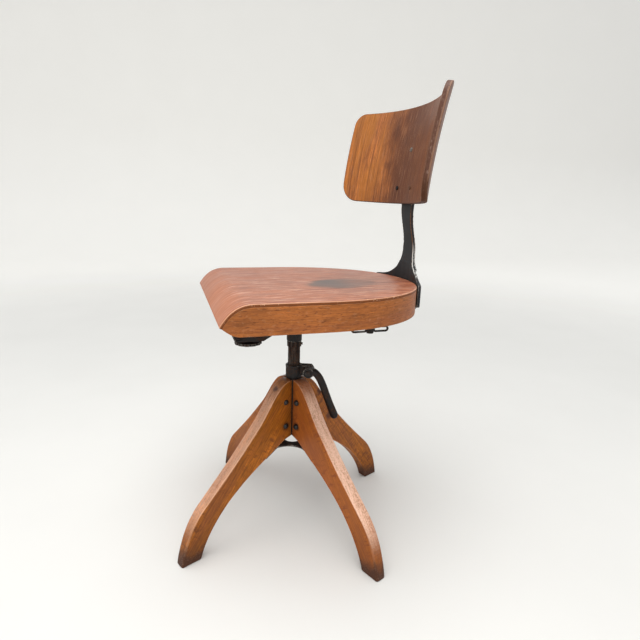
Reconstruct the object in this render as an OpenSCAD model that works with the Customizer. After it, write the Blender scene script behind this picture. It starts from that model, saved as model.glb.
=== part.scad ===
// Swivelling architects chair: four bolted wooden legs round an iron column,
// a bent seat with a rolled front edge and a sprung, sliding back.
// Millimetres. The origin is on the column axis at the floor, +Z is up,
// the sitter faces -Y and the sitter's left is +X.

/* [Seat] */
// Height of the seat's top above the floor
seat_h = 500; // [480:1:540]
// Width of the seat over its side board
seat_w = 400; // [370:1:430]
// Reach of the seat behind the column axis
seat_rear = 230; // [214:1:244]
// Reach of the rolled front edge before the column axis
seat_front = 166; // [156:1:186]
// Exponent of the rounded rear outline, where 2 is an ellipse
rear_round = 2.2; // [2:0.1:3]
// Thickness of the bent seat board
board_t = 5; // [4:0.5:7]
// Height of the seat from its top to the bottom of its side board
apron_h = 50; // [46:1:60]
// Thickness of the side board
apron_t = 16; // [12:1:20]
// Length of the front roll along the seat
roll_run = 53; // [45:1:60]
// Drop of the front roll to its nose
roll_drop = 34; // [30:1:38]
// Height of the cross rails and the bracket's seat on them
rail_h = 18; // [14:1:22]
// Width of each cross rail
rail_w = 34; // [28:1:36]

/* [Back] */
// Height of the back panel's lower edge above the seat's top
panel_rise = 149.5; // [130:0.5:170]
// Height of the back panel along its face
panel_h = 186; // [160:1:210]
// Width of the back panel along its curve
panel_w = 389; // [340:1:410]
// Thickness of the back panel
panel_t = 10; // [9:0.5:13]
// Radius of the panel's hollow
panel_r = 295; // [260:5:340]
// Place of the panel's front face behind the column axis, at its lower edge
panel_y = 214; // [209:1:220]
// Lean of the panel at its lower edge
panel_lean = 4.7; // [3:0.1:7]
// Extra set-back of the panel's upper edge
panel_sweep = 16; // [10:1:20]
// Corner radius of the panel's upper corners
panel_top_r = 24; // [20:1:40]
// Corner radius of the panel's lower corners
panel_low_r = 37; // [25:1:45]
// Spacing of the two lower panel screws
screw_pair = 54; // [46:1:58]
// Width of the stem at its narrowest
stem_w = 36; // [30:1:40]
// Thickness of the stem
stem_t = 7; // [6:0.5:8]
// Width of the rib down the stem's rear
rib_w = 9; // [7:1:12]
// Depth of the rib behind the stem
rib_d = 7; // [4:0.5:10]
// Reach of each saddle wing from the middle of the seat's rear
wing_w = 98; // [84:1:102]
// Thickness of the saddle
wing_t = 6; // [5:0.5:7]
// Gap between the saddle and the seat's side board
wing_gap = 2; // [1.5:0.5:3]

/* [Base] */
// Radius over the feet
foot_r = 257; // [237:1:280]
// Depth of a foot on the floor
foot_d = 39; // [34:1:46]
// Thickness of a leg at the column
leg_t = 26; // [24:1:28]
// Thickness of a leg at its foot
leg_foot_t = 21; // [19:1:24]
// Height of a leg over its shoulder and its lower end at the column
leg_h = 124; // [118:1:132]
// Chamfer along the outer edges of a leg
leg_chamfer = 2; // [1:0.5:4]
// Wear of a foot's edges on the floor
foot_wear = 4; // [2:0.5:6]
// Turn of the base under the seat
base_turn = 24; // [0:1:44]
// Diameter of the leg bolts
leg_bolt_d = 7; // [6:0.5:8]
// Diameter of the domed heads on the leg bolts
leg_head_d = 11.5; // [10:0.5:13]
// Thickness of the iron cross under the legs
cross_t = 4; // [3:0.5:5]
// Diameter of the hole in the iron cross
cross_hole = 34; // [30:1:38]

/* [Column] */
// Diameter of the post
post_d = 24; // [20:0.5:26]
// Wall of the sleeve round the post
sleeve_wall = 3; // [2.5:0.5:4]
// Drop of the clamp head's top below the seat's top
head_drop = 167; // [163:1:172]
// Height of the clamp head
head_h = 25; // [24:0.5:27]
// Width of the saw cut in the clamp head
slit_w = 3; // [2:0.5:4]
// Thickness of each clamp ear
ear_t = 7; // [5:0.5:8]
// Reach of the clamp screw from the column axis
ear_reach = 31; // [29:1:34]
// Diameter of the clamp screw
clamp_d = 9; // [8:0.5:10]
// Diameter of the lever's bar
lever_d = 15; // [13:0.5:16]
// Length of post left between clamp head and stop ring
post_show = 38; // [35:1:42]
// Height of the stop ring
ring_h = 10; // [8:1:12]
// Radial clearance of the post in its bores
post_fit = 0.05; // [0.02:0.01:0.1]

/* [Tilt] */
// Place of the tilt pin behind the column axis
pin_y = 54; // [50:1:62]
// Drop of the tilt pin below the seat's top
pin_drop = 60; // [56:1:62]
// Diameter of the tilt pin
pin_d = 10; // [8:0.5:11]
// Place of the spring rod before the column axis
rod_y = 91; // [88:1:95]
// Diameter of the spring rod
rod_d = 10; // [8:0.5:10]
// Outer diameter of the spring
spring_d = 30; // [27:0.5:32]
// Diameter of the spring's wire
wire_d = 3.6; // [3:0.1:4]
// Turns of the spring
spring_turns = 7; // [5:1:8]
// Diameter of the hand wheel
wheel_d = 52; // [46:1:56]
// Thickness of the rocker's two side arms
arm_t = 6; // [5:0.5:7]
// Place of the back's lock screw behind the column axis
lock_y = 161; // [154:1:164]
// Diameter of the lock screw
lock_d = 10; // [8:0.5:11]

/* [Hidden] */
$fn = 64;

// Clearances
seat_gap = 0.1;
run_gap = 0.3;
pin_fit = 0.05;

// Heights of the seat's pieces
board_z = seat_h - board_t;
apron_z = seat_h - apron_h;
rail_z = board_z - rail_h;
plate_t = 5;
plate_z = rail_z - plate_t;
nose_z = seat_h - roll_drop;

// Base, whose shoulders lie just under the clamp head
head_top = seat_h - head_drop;
leg_top = head_top - head_h - 3;
leg_low = leg_top - leg_h;
fin_t = 5;
fin_r = 38;
fin_top = leg_top - 18;
bolt_r = 28;
bolt_up = [leg_low + 30, leg_low + 81];
sleeve_r = post_d / 2 + sleeve_wall;
head_r = sleeve_r + 1;
sleeve_low = leg_low + 8;
cross_r = 33;
cross_arm = 80;
cross_bend = 46;
leg_slope = 30.8;

// Clamp
clamp_z = head_top - 10.5;
ear_r = 10;
lever_off = slit_w / 2 + ear_t + run_gap;
lever_hub_r = 10.5;
lever_hub_t = lever_d + 0.4;

// Post and stop ring
ring_z = head_top + post_show;
socket_z = ring_z + ring_h + run_gap;
socket_r = post_d / 2 + 3;
ball_r = 5;
post_top = plate_z - 22;
post_low = sleeve_low + 6;

// Tilt mechanism
pin_z = seat_h - pin_drop;
arm_x = socket_r + 7;
arm_out = arm_x + arm_t;
ear_x = arm_out + 2;
rocker_top = pin_z + 6;
rocker_low = pin_z - 16;
front_z = pin_z - 49;
front_t = 5;
front_y = rod_y + 29;
channel_t = 4;
tongue_t = 8;
tongue_z = rocker_low + channel_t + run_gap;
tongue_w = 2 * (arm_x - run_gap);
rod_low = front_z - 15;
wheel_z = front_z - 10;

function bez(p, t) = pow(1 - t, 3) * p[0] + 3 * pow(1 - t, 2) * t * p[1]
    + 3 * (1 - t) * t * t * p[2] + pow(t, 3) * p[3];
function bez_slope(p, t) = 3 * pow(1 - t, 2) * (p[1] - p[0])
    + 6 * (1 - t) * t * (p[2] - p[1]) + 3 * t * t * (p[3] - p[2]);
function unit(v) = v / norm(v);
function mix(a, b, t) = a * (1 - t) + b * t;
function run(p, n, first = 0) = [for (i = [first : n]) bez(p, i / n)];
function run_off(p, n, d) = [for (i = [0 : n])
    let (s = unit(bez_slope(p, i / n))) bez(p, i / n) + d * [-s[1], s[0]]];
function flip(a) = [for (i = [len(a) - 1 : -1 : 0]) a[i]];

// A closed skin through rings of equal, even length
module loft(rings) {
    n = len(rings);
    m = len(rings[0]);
    sides = [for (i = [0 : n - 2]) for (j = [0 : m - 1])
        let (k = (j + 1) % m)
        each [[i * m + j, i * m + k, (i + 1) * m + k],
            [i * m + j, (i + 1) * m + k, (i + 1) * m + j]]];
    top = (n - 1) * m;
    caps = [for (j = [0 : m / 2 - 2])
        each [[m - 2 - j, j + 1, j], [m - 1 - j, m - 2 - j, j],
            [top + j, top + j + 1, top + m - 2 - j], [top + j, top + m - 2 - j, top + m - 1 - j]]];
    polyhedron([for (r = rings) each r], concat(sides, caps));
}

// A bar or bore along X, centred on x = 0
module along_x(r, w) {
    rotate([0, 90, 0]) cylinder(r = r, h = w, center = true);
}

// A side profile in Y and Z, extruded along X about x = 0
module side_slab(points, w) {
    rotate([90, 0, 90])
        linear_extrude(w, center = true)
            polygon(points);
}

// Domed head with its flat side down
module dome(d, h) {
    r = (d * d / 4 + h * h) / (2 * h);
    intersection() {
        translate([0, 0, h - r]) sphere(r);
        cylinder(d = d, h = h);
    }
}

// Seat outline, drawn in by inset; the rear is a superellipse
function outline_right(inset, front) =
    let (a = seat_w / 2 - inset, b = seat_rear - inset, e = 2 / rear_round)
    concat([[a, -front]], [for (i = [0 : 22])
        let (f = 90 * i / 22) [a * pow(cos(f), e), b * pow(sin(f), e)]]);
function outline(inset, front) =
    let (r = outline_right(inset, front))
    concat(r, [for (i = [len(r) - 2 : -1 : 0]) [-r[i][0], r[i][1]]]);

// Front roll of the seat in side view, from the flat top to the nose
roll = [[-seat_front + roll_run, seat_h], [-seat_front + roll_run * 0.53, seat_h],
    [-seat_front + roll_run * 0.23, seat_h - roll_drop * 0.38], [-seat_front, nose_z]];
under_roll = run_off(roll, 14, board_t + seat_gap);
under_nose = under_roll[14];
cut_back = [under_nose, under_nose + [8, -6], [under_nose[0] + 16, apron_z],
    [under_nose[0] + 28, apron_z]];

module seat_board() {
    color("peru")
        intersection() {
            side_slab(concat([[seat_rear + 1, seat_h]], run(roll, 14),
                flip(run_off(roll, 14, board_t)), [[seat_rear + 1, board_z]]), seat_w + 2);
            translate([0, 0, apron_z - 1])
                linear_extrude(apron_h + 2)
                    polygon(outline(0, seat_front + 1));
        }
}

module under_board(w) {
    side_slab(concat([[seat_rear + 1, board_z - seat_gap]], under_roll,
        run(cut_back, 8, 1), [[seat_rear + 1, apron_z]]), w);
}

module side_board() {
    color("sienna")
        intersection() {
            under_board(seat_w + 2);
            translate([0, 0, apron_z - 1])
                linear_extrude(apron_h)
                    difference() {
                        polygon(outline(0, seat_front + 1));
                        polygon(outline(apron_t, seat_front + 2));
                    }
        }
}

module front_rail() {
    color("sienna")
        intersection() {
            under_board(seat_w - 2 * apron_t - 2 * seat_gap);
            translate([-seat_w / 2, -seat_front - 1, apron_z - 1])
                cube([seat_w, roll_run - 12, apron_h]);
        }
}

module cross_rail(y) {
    color("burlywood")
        difference() {
            intersection() {
                translate([0, 0, rail_z])
                    linear_extrude(rail_h - seat_gap)
                        polygon(outline(apron_t + seat_gap, seat_front));
                translate([-seat_w / 2, y - rail_w / 2, rail_z - 1])
                    cube([seat_w, rail_w, rail_h + 2]);
            }
            for (x = bracket_screw_x)
                translate([x, y, rail_z - 1])
                    cylinder(d = wood_screw_d + 2 * seat_gap, h = 14);
        }
}

front_rail_y = -rod_y + 12 + rail_w / 2;
rear_rail_y = 94;
bracket_screw_x = [-34, 34];
wood_screw_d = 5;

// Wood screw pointing up, with its countersunk head flush at z = 0
module wood_screw(d, h) {
    cylinder(d1 = 2 * d, d2 = d, h = d / 2);
    cylinder(d = d, h = h);
}

module seat_bracket() {
    color("dimgray")
        difference() {
            union() {
                bracket_plate();
                socket_body();
                for (s = [-1, 1])
                    translate([s * (ear_x + arm_t / 2), pin_y, 0])
                        pin_ear();
            }
            translate([0, 0, socket_z - 1])
                cylinder(r = post_d / 2 + post_fit, h = post_top + ball_r + seat_gap - socket_z + 1);
            translate([0, pin_y, pin_z])
                along_x(pin_d / 2 + pin_fit, 4 * ear_x);
            translate([0, -rod_y, plate_z - 1])
                cylinder(d = rod_d + 2 * seat_gap, h = plate_t + 2);
            for (x = bracket_screw_x)
                for (y = [front_rail_y, rear_rail_y])
                    translate([x, y, plate_z - 1])
                        bracket_screw_hole();
            translate([0, 0, socket_screw_z])
                rotate([-90, 0, 0])
                    cylinder(d = socket_screw_d + 2 * pin_fit, h = 2 * socket_r);
        }
}

socket_screw_d = 6;
socket_screw_z = post_top - 20;

module bracket_screw_hole() {
    cylinder(d = wood_screw_d + 2 * seat_gap, h = plate_t + 2);
    cylinder(d = 2 * wood_screw_d + 2 * seat_gap, h = 1 + seat_gap);
    translate([0, 0, 1 + seat_gap])
        cylinder(d1 = 2 * wood_screw_d + 2 * seat_gap, d2 = wood_screw_d + 2 * seat_gap,
            h = wood_screw_d / 2);
}

// Waisted plate under the two cross rails, with a round nose for the rod
module bracket_plate() {
    waist = 300;
    half = 46;
    translate([0, 0, plate_z])
        linear_extrude(plate_t)
            difference() {
                union() {
                    translate([-half, front_rail_y - rail_w / 2 + 4])
                        square([2 * half, rear_rail_y + rail_w - front_rail_y - 8]);
                    translate([0, -rod_y]) circle(20);
                    translate([-20, -rod_y]) square([40, rod_y]);
                }
                for (s = [-1, 1])
                    translate([s * (half + waist - 12), (front_rail_y + rear_rail_y) / 2])
                        circle(waist, $fn = 128);
            }
    // Rib down each side of the plate
    for (s = [-1, 1])
        translate([s * 14 - 2, front_rail_y, plate_z - 6])
            cube([4, rear_rail_y - front_rail_y, 7]);
}

module socket_body() {
    flare = 26;
    rotate_extrude($fn = 96)
        polygon(concat([[0, socket_z], [socket_r, socket_z],
            [socket_r, plate_z - 24]],
            [for (i = [1 : 8]) [flare - (flare - socket_r) * cos(90 * i / 8),
                plate_z - 24 + 24 * sin(90 * i / 8)]],
            [[0, plate_z]]));
}

// Ear that hangs from the plate and holds the tilt pin
module pin_ear() {
    r = pin_d / 2 + 7;
    translate([0, 0, pin_z]) along_x(r, arm_t);
    translate([-arm_t / 2, -r, pin_z]) cube([arm_t, 2 * r, plate_z - pin_z + 1]);
}

module socket_screw() {
    color("gray")
        translate([0, post_d / 2 - 1.2, socket_screw_z])
            rotate([-90, 0, 0])
                difference() {
                    cylinder(d = socket_screw_d, h = socket_r - post_d / 2 + 3);
                    translate([-4, -0.5, socket_r - post_d / 2 + 1.5]) cube([8, 1, 3]);
                }
}

module bracket_screws() {
    color("gray")
        for (x = bracket_screw_x)
            for (y = [front_rail_y, rear_rail_y])
                translate([x, y, plate_z])
                    wood_screw(wood_screw_d, plate_t + 12);
}

module spring_rod() {
    color("gray")
        union() {
            translate([0, -rod_y, rod_low])
                cylinder(d = rod_d, h = plate_z + plate_t - rod_low);
            translate([0, -rod_y, plate_z + plate_t + seat_gap])
                cylinder(d = 17, h = 6, $fn = 6);
            translate([0, -rod_y, plate_z + plate_t - 1])
                cylinder(d = rod_d, h = 3);
        }
}

cup_t = 3;
cup_z = plate_z - cup_t - seat_gap;

module spring_cup() {
    color("dimgray")
        translate([0, -rod_y, cup_z])
            difference() {
                cylinder(d = spring_d + 5, h = cup_t);
                translate([0, 0, -1]) cylinder(d = rod_d + 2 * seat_gap, h = cup_t + 2);
                translate([0, 0, -1])
                    difference() {
                        cylinder(d = spring_d + 1, h = 2);
                        cylinder(d = spring_d - 2 * wire_d - 1, h = 2);
                    }
            }
}

// Compression spring with closed ends, as one unbroken wire
spring_z = front_z + front_t + run_gap;
spring_top = cup_z + 1 - run_gap;
spring_steps = 10;

// Height of the wire's middle after a share u of its turns
function spring_rise(u) =
    let (n = u * spring_turns, pitch = wire_d * 1.12, open = spring_turns - 2,
        low = spring_z + wire_d / 2, high = spring_top - wire_d / 2)
    n < 1 ? low + n * pitch
    : n > spring_turns - 1 ? high - (spring_turns - n) * pitch
    : low + pitch + (n - 1) / open * (high - low - 2 * pitch);

module tilt_spring() {
    r = (spring_d - wire_d) / 2;
    n = spring_turns * spring_steps;
    echo(least_spring_gap = (spring_rise(2 / spring_turns) - spring_rise(1 / spring_turns)) - wire_d);
    color("silver")
        translate([0, -rod_y, 0])
            loft([for (i = [0 : n])
                let (a = 360 * i / spring_steps, z = spring_rise(i / n))
                [for (j = [0 : 5])
                    let (b = -60 * j, q = r + wire_d / 2 * cos(b))
                    [q * cos(a), q * sin(a), z + wire_d / 2 * sin(b)]]]);
}

module tilt_pin() {
    w = 2 * (ear_x + arm_t) + 8;
    color("gray")
        translate([0, pin_y, pin_z])
            union() {
                along_x(pin_d / 2, w);
                translate([w / 2, 0, 0]) along_x(pin_d / 2 + 2, 3);
            }
}

// Split rings that keep the pin in its ears
module pin_rings() {
    color("gray")
        translate([-(ear_x + arm_t) - 2, pin_y, pin_z])
            difference() {
                along_x(pin_d / 2 + 2.5, 3);
                along_x(pin_d / 2 + seat_gap / 2, 4);
            }
}

// Rocker: two side arms, a spring plate in front and a channel behind
rocker_rear = seat_rear - 21;
channel_y = pin_y + 62;

function arm_outline() =
    let (fall = [[-front_y + 54, front_z], [-front_y, front_z], [-front_y, front_z + front_t]])
    concat([[rocker_rear, rocker_top], [rocker_rear, rocker_low], [-front_y + 111, rocker_low]],
        fall, [[-front_y + 12, front_z + front_t + 1], [-front_y + 30, front_z + 22],
            [-front_y + 124, rocker_top]]);

module rocker_frame() {
    color("dimgray")
        difference() {
            union() {
                for (s = [-1, 1])
                    translate([s * (arm_x + arm_t / 2), 0, 0]) {
                        side_slab(arm_outline(), arm_t);
                        translate([0, pin_y, pin_z]) along_x(13, arm_t);
                    }
                front_plate();
                translate([-arm_out, channel_y, rocker_low])
                    cube([2 * arm_out, rocker_rear - channel_y, channel_t]);
                for (y = [channel_y + 6, rocker_rear - 22])
                    translate([-arm_out, y, tongue_z + tongue_t + run_gap])
                        cube([2 * arm_out, 18, channel_t]);
                translate([0, lock_y, rocker_low - lock_boss])
                    cylinder(r = lock_d / 2 + 6, h = lock_boss + 1);
            }
            translate([0, pin_y, pin_z])
                along_x(pin_d / 2 + pin_fit, 4 * arm_out);
            rod_slot();
            translate([0, lock_y, rocker_low - lock_boss - 1])
                cylinder(d = lock_d + 2 * pin_fit, h = lock_boss + channel_t + 2);
        }
}

lock_boss = 10;

// Slot that lets the plate swing past the rod
module rod_slot() {
    r = rod_d / 2 + 1;
    swing = 7;
    for (y = [-rod_y - 1, -rod_y + swing])
        translate([0, y, front_z - 1]) cylinder(r = r, h = front_t + 2);
    translate([-r, -rod_y - 1, front_z - 1]) cube([2 * r, swing + 1, front_t + 2]);
}

module front_plate() {
    translate([-arm_out, -front_y, front_z]) cube([2 * arm_out, 54, front_t]);
}

module hand_wheel() {
    rim_t = 5;
    flutes = 12;
    color("dimgray")
        translate([0, -rod_y, wheel_z])
            difference() {
                union() {
                    cylinder(d = wheel_d, h = rim_t);
                    cylinder(d = rod_d + 10, h = 10 - run_gap);
                }
                translate([0, 0, -1]) cylinder(d = rod_d + 2 * pin_fit, h = 12);
                translate([0, 0, -1])
                    difference() {
                        cylinder(d = wheel_d - 12, h = 3);
                        cylinder(d = rod_d + 10, h = 3);
                    }
                for (i = [0 : flutes - 1])
                    rotate(360 * i / flutes)
                        translate([wheel_d / 2 + 1.5, 0, -1])
                            cylinder(r = 3, h = rim_t + 2, $fn = 24);
            }
}

// Lock screw with two wire loops for the fingers
loop_len = 36;
loop_h = 14;
loop_wire = 4.5;
lock_low = rocker_low - 36;

// A flat loop of wire that stands upright along Y
module wire_loop() {
    r = (loop_h - loop_wire) / 2;
    straight = loop_len - loop_h;
    for (turn = [0, 180])
        rotate([turn, 0, 0]) {
            translate([0, 0, r]) rotate([90, 0, 0]) cylinder(d = loop_wire, h = straight, center = true);
            translate([0, straight / 2, 0])
                rotate([0, -90, 0])
                    rotate_extrude(angle = 180) translate([r, 0]) circle(d = loop_wire, $fn = 24);
        }
}

module lock_screw() {
    color("dimgray")
        translate([0, lock_y, lock_low])
            union() {
                cylinder(r = 7.5, h = loop_h + 4);
                translate([0, 0, loop_h]) cylinder(d = lock_d, h = tongue_z - lock_low - loop_h - seat_gap);
                for (s = [-1, 1])
                    translate([0, s * (loop_len / 2 + 6), loop_h / 2 + 1]) wire_loop();
            }
}

// Back panel: hollow across, swept back a little towards its upper edge
panel_z = seat_h + panel_rise;

// Point of the panel at s along its curve, t up its face and d behind its front
function panel_point(s, t, d) =
    let (a = s / panel_r * 180 / PI, r = panel_r + d,
        deep = d - (1 - cos(a)) * r + panel_sweep * pow(t / panel_h, 2))
    [r * sin(a), panel_y + deep * cos(panel_lean) + t * sin(panel_lean),
        panel_z - deep * sin(panel_lean) + t * cos(panel_lean)];

// Half width of the panel at height t, drawn in round its corners
function corner_in(r, t) = r - sqrt(max(0, r * r - pow(r - t, 2)));
function panel_half(t) = panel_w / 2
    - (t < panel_low_r ? corner_in(panel_low_r, t)
        : t > panel_h - panel_top_r ? corner_in(panel_top_r, panel_h - t) : 0);
panel_rows = concat(
    [for (i = [0 : 5]) panel_low_r * (1 - cos(90 * i / 5))],
    [for (i = [1 : 4]) mix(panel_low_r, panel_h - panel_top_r, i / 5)],
    [for (i = [0 : 5]) panel_h - panel_top_r * (1 - sin(90 * i / 5))]);
panel_cols = 20;

module back_panel() {
    color("sienna")
        difference() {
            loft([for (t = panel_rows)
                concat([for (i = [0 : panel_cols])
                        panel_point(panel_half(t) * (2 * i / panel_cols - 1), t, 0)],
                    [for (i = [panel_cols : -1 : 0])
                        panel_point(panel_half(t) * (2 * i / panel_cols - 1), t, panel_t)])]);
            for (p = panel_screw_at)
                at_panel(p) translate([0, 0, -20]) cylinder(d = panel_screw_d + 2 * seat_gap, h = 60);
        }
}

panel_screw_d = 5;
panel_screw_at = [[0, 102], [-screw_pair / 2, 30], [screw_pair / 2, 30]];

// Places children on the panel's front face at s and t, with +Z to the rear
module at_panel(p) {
    here = panel_point(p[0], p[1], 0);
    lean = panel_lean + atan(2 * panel_sweep * p[1] / (panel_h * panel_h));
    translate(here)
        rotate([-lean, 0, 0])
            rotate([-90, 0, -p[0] / panel_r * 180 / PI])
                children();
}

module panel_screws() {
    head_t = 1.5;
    face_gap = 0.4;
    color("gray")
        for (p = panel_screw_at)
            at_panel(p)
                difference() {
                    union() {
                        translate([0, 0, -head_t - face_gap])
                            cylinder(d1 = panel_screw_d + 2, d2 = 2 * panel_screw_d - 1, h = head_t);
                        translate([0, 0, -1]) cylinder(d = panel_screw_d, h = panel_t + stem_t + 3.5);
                    }
                    translate([-6, -0.5, -head_t - face_gap - 1]) cube([12, 1, 1.6]);
                }
}

// Middle line of the panel's rear face, for the stem that follows it
function panel_rear(t) = let (p = panel_point(0, t, panel_t + run_gap)) [p[1], p[2]];

stem_y = seat_rear + wing_gap;
head_low = 4;
head_mid = 26;
head_top_t = 118;
neck = panel_rear(head_low);
stem_bend = [neck, neck - [4, 40], [stem_y + 5, seat_h + 86], [stem_y + 1.5, seat_h + 50]];
stem_front = concat([for (i = [8 : -1 : 0]) panel_rear(mix(head_low, head_top_t, i / 8))],
    run(stem_bend, 12, 1), [[stem_y, seat_h + 34], [stem_y, seat_h]]);

// A plate of the stem's thickness behind the line, in side view
module stem_slab(points, w) {
    side_slab(concat(points, flip([for (p = points) p + [stem_t, 0]])), w);
}

// Right half of the stem in front view: head, shaft and the spread into the wings
stem_half = concat(
    [[11, panel_z + head_top_t]],
    [[screw_pair / 2 + 9, panel_z + head_mid + 16], [screw_pair / 2 + 9, panel_z + head_mid]],
    run([[screw_pair / 2 + 5, panel_z + head_mid - 8], [stem_w / 2 + 4, panel_z + 8],
        [stem_w / 2 + 3, panel_z], [stem_w / 2 + 2, panel_z - 20]], 5),
    run([[stem_w / 2 + 2, panel_z - 20], [stem_w / 2 - 2, seat_h + 104],
        [stem_w / 2 - 1, seat_h + 84], [stem_w / 2 + 3, seat_h + 64]], 6, 1),
    run([[stem_w / 2 + 3, seat_h + 64], [stem_w / 2 + 3, seat_h + 26],
        [wing_w / 2 - 6, seat_h + 6], [wing_w - 4, seat_h + 3]], 10, 1));

function mirrored(half) = concat(half, flip([for (p = half) if (p[0] > 0) [-p[0], p[1]]]));

// Stands a front view up between the column axis and far behind the seat
module front_view() {
    translate([0, 2 * seat_rear, 0])
        rotate([90, 0, 0])
            linear_extrude(2 * seat_rear) children();
}

module back_stem() {
    color("dimgray")
        difference() {
            union() {
                intersection() {
                    stem_slab(stem_front, 2 * wing_w);
                    front_view() polygon(mirrored([for (p = stem_half) if (p[1] > seat_h + 20) p]));
                }
                stem_rib();
                saddle();
                translate([-tongue_w / 2, stem_y, foot_z]) cube([tongue_w, foot_len, foot_t]);
            }
            for (p = panel_screw_at)
                at_panel(p) translate([0, 0, -20]) cylinder(d = panel_screw_d + 2 * seat_gap, h = 60);
            for (x = rivet_x)
                translate([x, rivet_y, foot_z - 1]) cylinder(d = rivet_d + 2 * seat_gap, h = foot_t + 2);
        }
}

foot_z = tongue_z + tongue_t + seat_gap;
foot_t = 7;
foot_len = 17;
rivet_d = 7;
rivet_x = [-12, 12];
rivet_y = stem_y + 11;

// Rib down the stem's rear, thinning towards the head, with its foot on the flange
module stem_rib() {
    shaft = [for (p = stem_front) if (p[1] < panel_z + 60) p];
    side_slab(concat(shaft, [[stem_y, foot_z], [stem_y + foot_len, foot_z], [stem_y + foot_len, foot_z + foot_t]],
        flip([for (p = shaft) p + [stem_t + rib_d * min(1, (panel_z + 61 - p[1]) / 120), 0]])), rib_w);
}

// Saddle that hugs the rounded rear of the seat
module saddle() {
    intersection() {
        translate([0, 0, foot_z])
            linear_extrude(seat_h + 40 - foot_z)
                difference() {
                    polygon(outline(-wing_gap - wing_t, 0));
                    polygon(outline(-wing_gap, 1));
                }
        front_view() polygon(mirrored(saddle_half));
    }
}

// Right half of the saddle in front view
saddle_half = concat([[0, seat_h + 36]],
    [for (p = stem_half) if (p[1] < seat_h + 36) p],
    [[wing_w, seat_h - 7], [wing_w, seat_h - 36], [wing_w - 5, seat_h - 41]],
    run([[wing_w - 8, seat_h - 41], [wing_w * 0.6, seat_h - 42], [wing_w * 0.5, foot_z],
        [tongue_w / 2, foot_z]], 6),
    [[0, foot_z]]);

// Tongue that runs forward under the seat into the rocker's channel
tongue_front = channel_y - 14;

module back_tongue() {
    color("dimgray")
        difference() {
            translate([-tongue_w / 2, tongue_front, tongue_z])
                cube([tongue_w, stem_y + foot_len - tongue_front, tongue_t]);
            for (x = rivet_x)
                translate([x, rivet_y, tongue_z - 1]) cylinder(d = rivet_d + 2 * seat_gap, h = tongue_t + 2);
        }
}

module tongue_rivets() {
    color("gray")
        for (x = rivet_x)
            translate([x, rivet_y, tongue_z])
                union() {
                    translate([0, 0, -1]) cylinder(d = rivet_d, h = tongue_t + foot_t + 3);
                    translate([0, 0, -seat_gap]) rotate([180, 0, 0]) dome(rivet_d * 1.6, 3.5);
                    translate([0, 0, tongue_t + foot_t + 2 * seat_gap]) dome(rivet_d * 1.3, 3);
                }
}

// Base, turned under the seat
module in_base(turn) {
    rotate(base_turn + turn) children();
}

leg_turns = [0, 90, 180, 270];
foot_in = foot_r - foot_d;
slope_end = 84;

// Point of a leg's edge at radius r, at a share of its shoulder's or lower end's height
function out_at(r, share) = [r, leg_top * share];
function in_at(r, share) = [r, leg_low * share];
function low_line(r) = [r, leg_low - (r - 32) * tan(leg_slope)];

// Outer and inner edges of a leg in side view, as radius and height
leg_outer = concat(
    run([[12, leg_top], [36, leg_top + 1], [50, leg_top - 20], [68, leg_top - 47]], 6),
    run([[68, leg_top - 47], out_at(86, 0.756), out_at(99, 0.715), out_at(118, 0.645)], 4, 1),
    run([out_at(118, 0.645), out_at(150, 0.527), out_at(foot_r - 79, 0.439),
        out_at(foot_r - 44, 0.325)], 7, 1),
    run([out_at(foot_r - 44, 0.325), out_at(foot_r - 18, 0.233), out_at(foot_r - 6, 0.115),
        [foot_r, foot_wear / 2]], 8, 1), [[foot_r - 1, 0]]);
leg_inner = concat(
    [[12, leg_low + 6], [19, leg_low + 4.2], [26, leg_low + 2.1], [32, leg_low]],
    [for (i = [1 : 7]) low_line(mix(32, slope_end, i / 7))],
    run([low_line(slope_end), low_line(slope_end + 26), in_at(foot_in - 84, 0.65),
        in_at(foot_in - 60, 0.53)], 7, 1),
    run([in_at(foot_in - 60, 0.53), in_at(foot_in - 30, 0.37), in_at(foot_in - 9, 0.19),
        [foot_in, foot_wear]], 8, 1), [[foot_in + 2 * foot_wear, 0]]);
leg_last = len(leg_outer) - 1;

// Half the thickness of a leg at its ring i
function leg_half(i) = mix(leg_t, leg_foot_t, max(0, i - 8) / (leg_last - 8)) / 2
    - (i == leg_last ? foot_wear / 3 : 0);

function leg_ring(i) =
    let (p = leg_outer[i], q = leg_inner[i], l = norm(p - q), k = (p - q) / l, h = leg_half(i),
        c = leg_chamfer * min(1, (i + 1) / 5) + max(0, i - 18) * 0.2, e = 1.5,
        at = function (d, s) [q[0] + k[0] * d, s, q[1] + k[1] * d])
    [at(0, h - e), at(0, -h + e), at(e, -h), at(l - c, -h),
        at(l, -h + c), at(l, h - c), at(l - c, h), at(e, h)];

module leg() {
    color("peru")
        difference() {
            intersection() {
                loft([for (i = [0 : leg_last]) leg_ring(i)]);
                translate([0, 0, -1])
                    linear_extrude(leg_top + 20)
                        polygon([[seat_gap, 0], [foot_r + 10, -foot_r - 10 + seat_gap],
                            [foot_r + 10, foot_r + 10 - seat_gap]]);
            }
            translate([0, 0, leg_low - 1]) cylinder(r = sleeve_r + seat_gap, h = leg_top);
            translate([0, -fin_t / 2 - seat_gap, leg_low - 1])
                cube([fin_r + seat_gap, fin_t + 2 * seat_gap, fin_top - leg_low + 1 + seat_gap]);
            bolt_holes();
            leg_screw_holes();
        }
}

module bolt_holes() {
    for (z = bolt_up)
        translate([bolt_r, 0, z])
            rotate([90, 0, 0])
                cylinder(d = leg_bolt_d + 4 * seat_gap, h = 2 * leg_t, center = true);
}

cross_screw_r = [56, 72];
cross_screw_d = 4;

// Places children on the leg's sloping lower edge, with +Z into the leg
module on_slope(r) {
    p = low_line(r);
    translate([p[0], 0, p[1]]) rotate([0, leg_slope, 0]) children();
}

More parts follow.
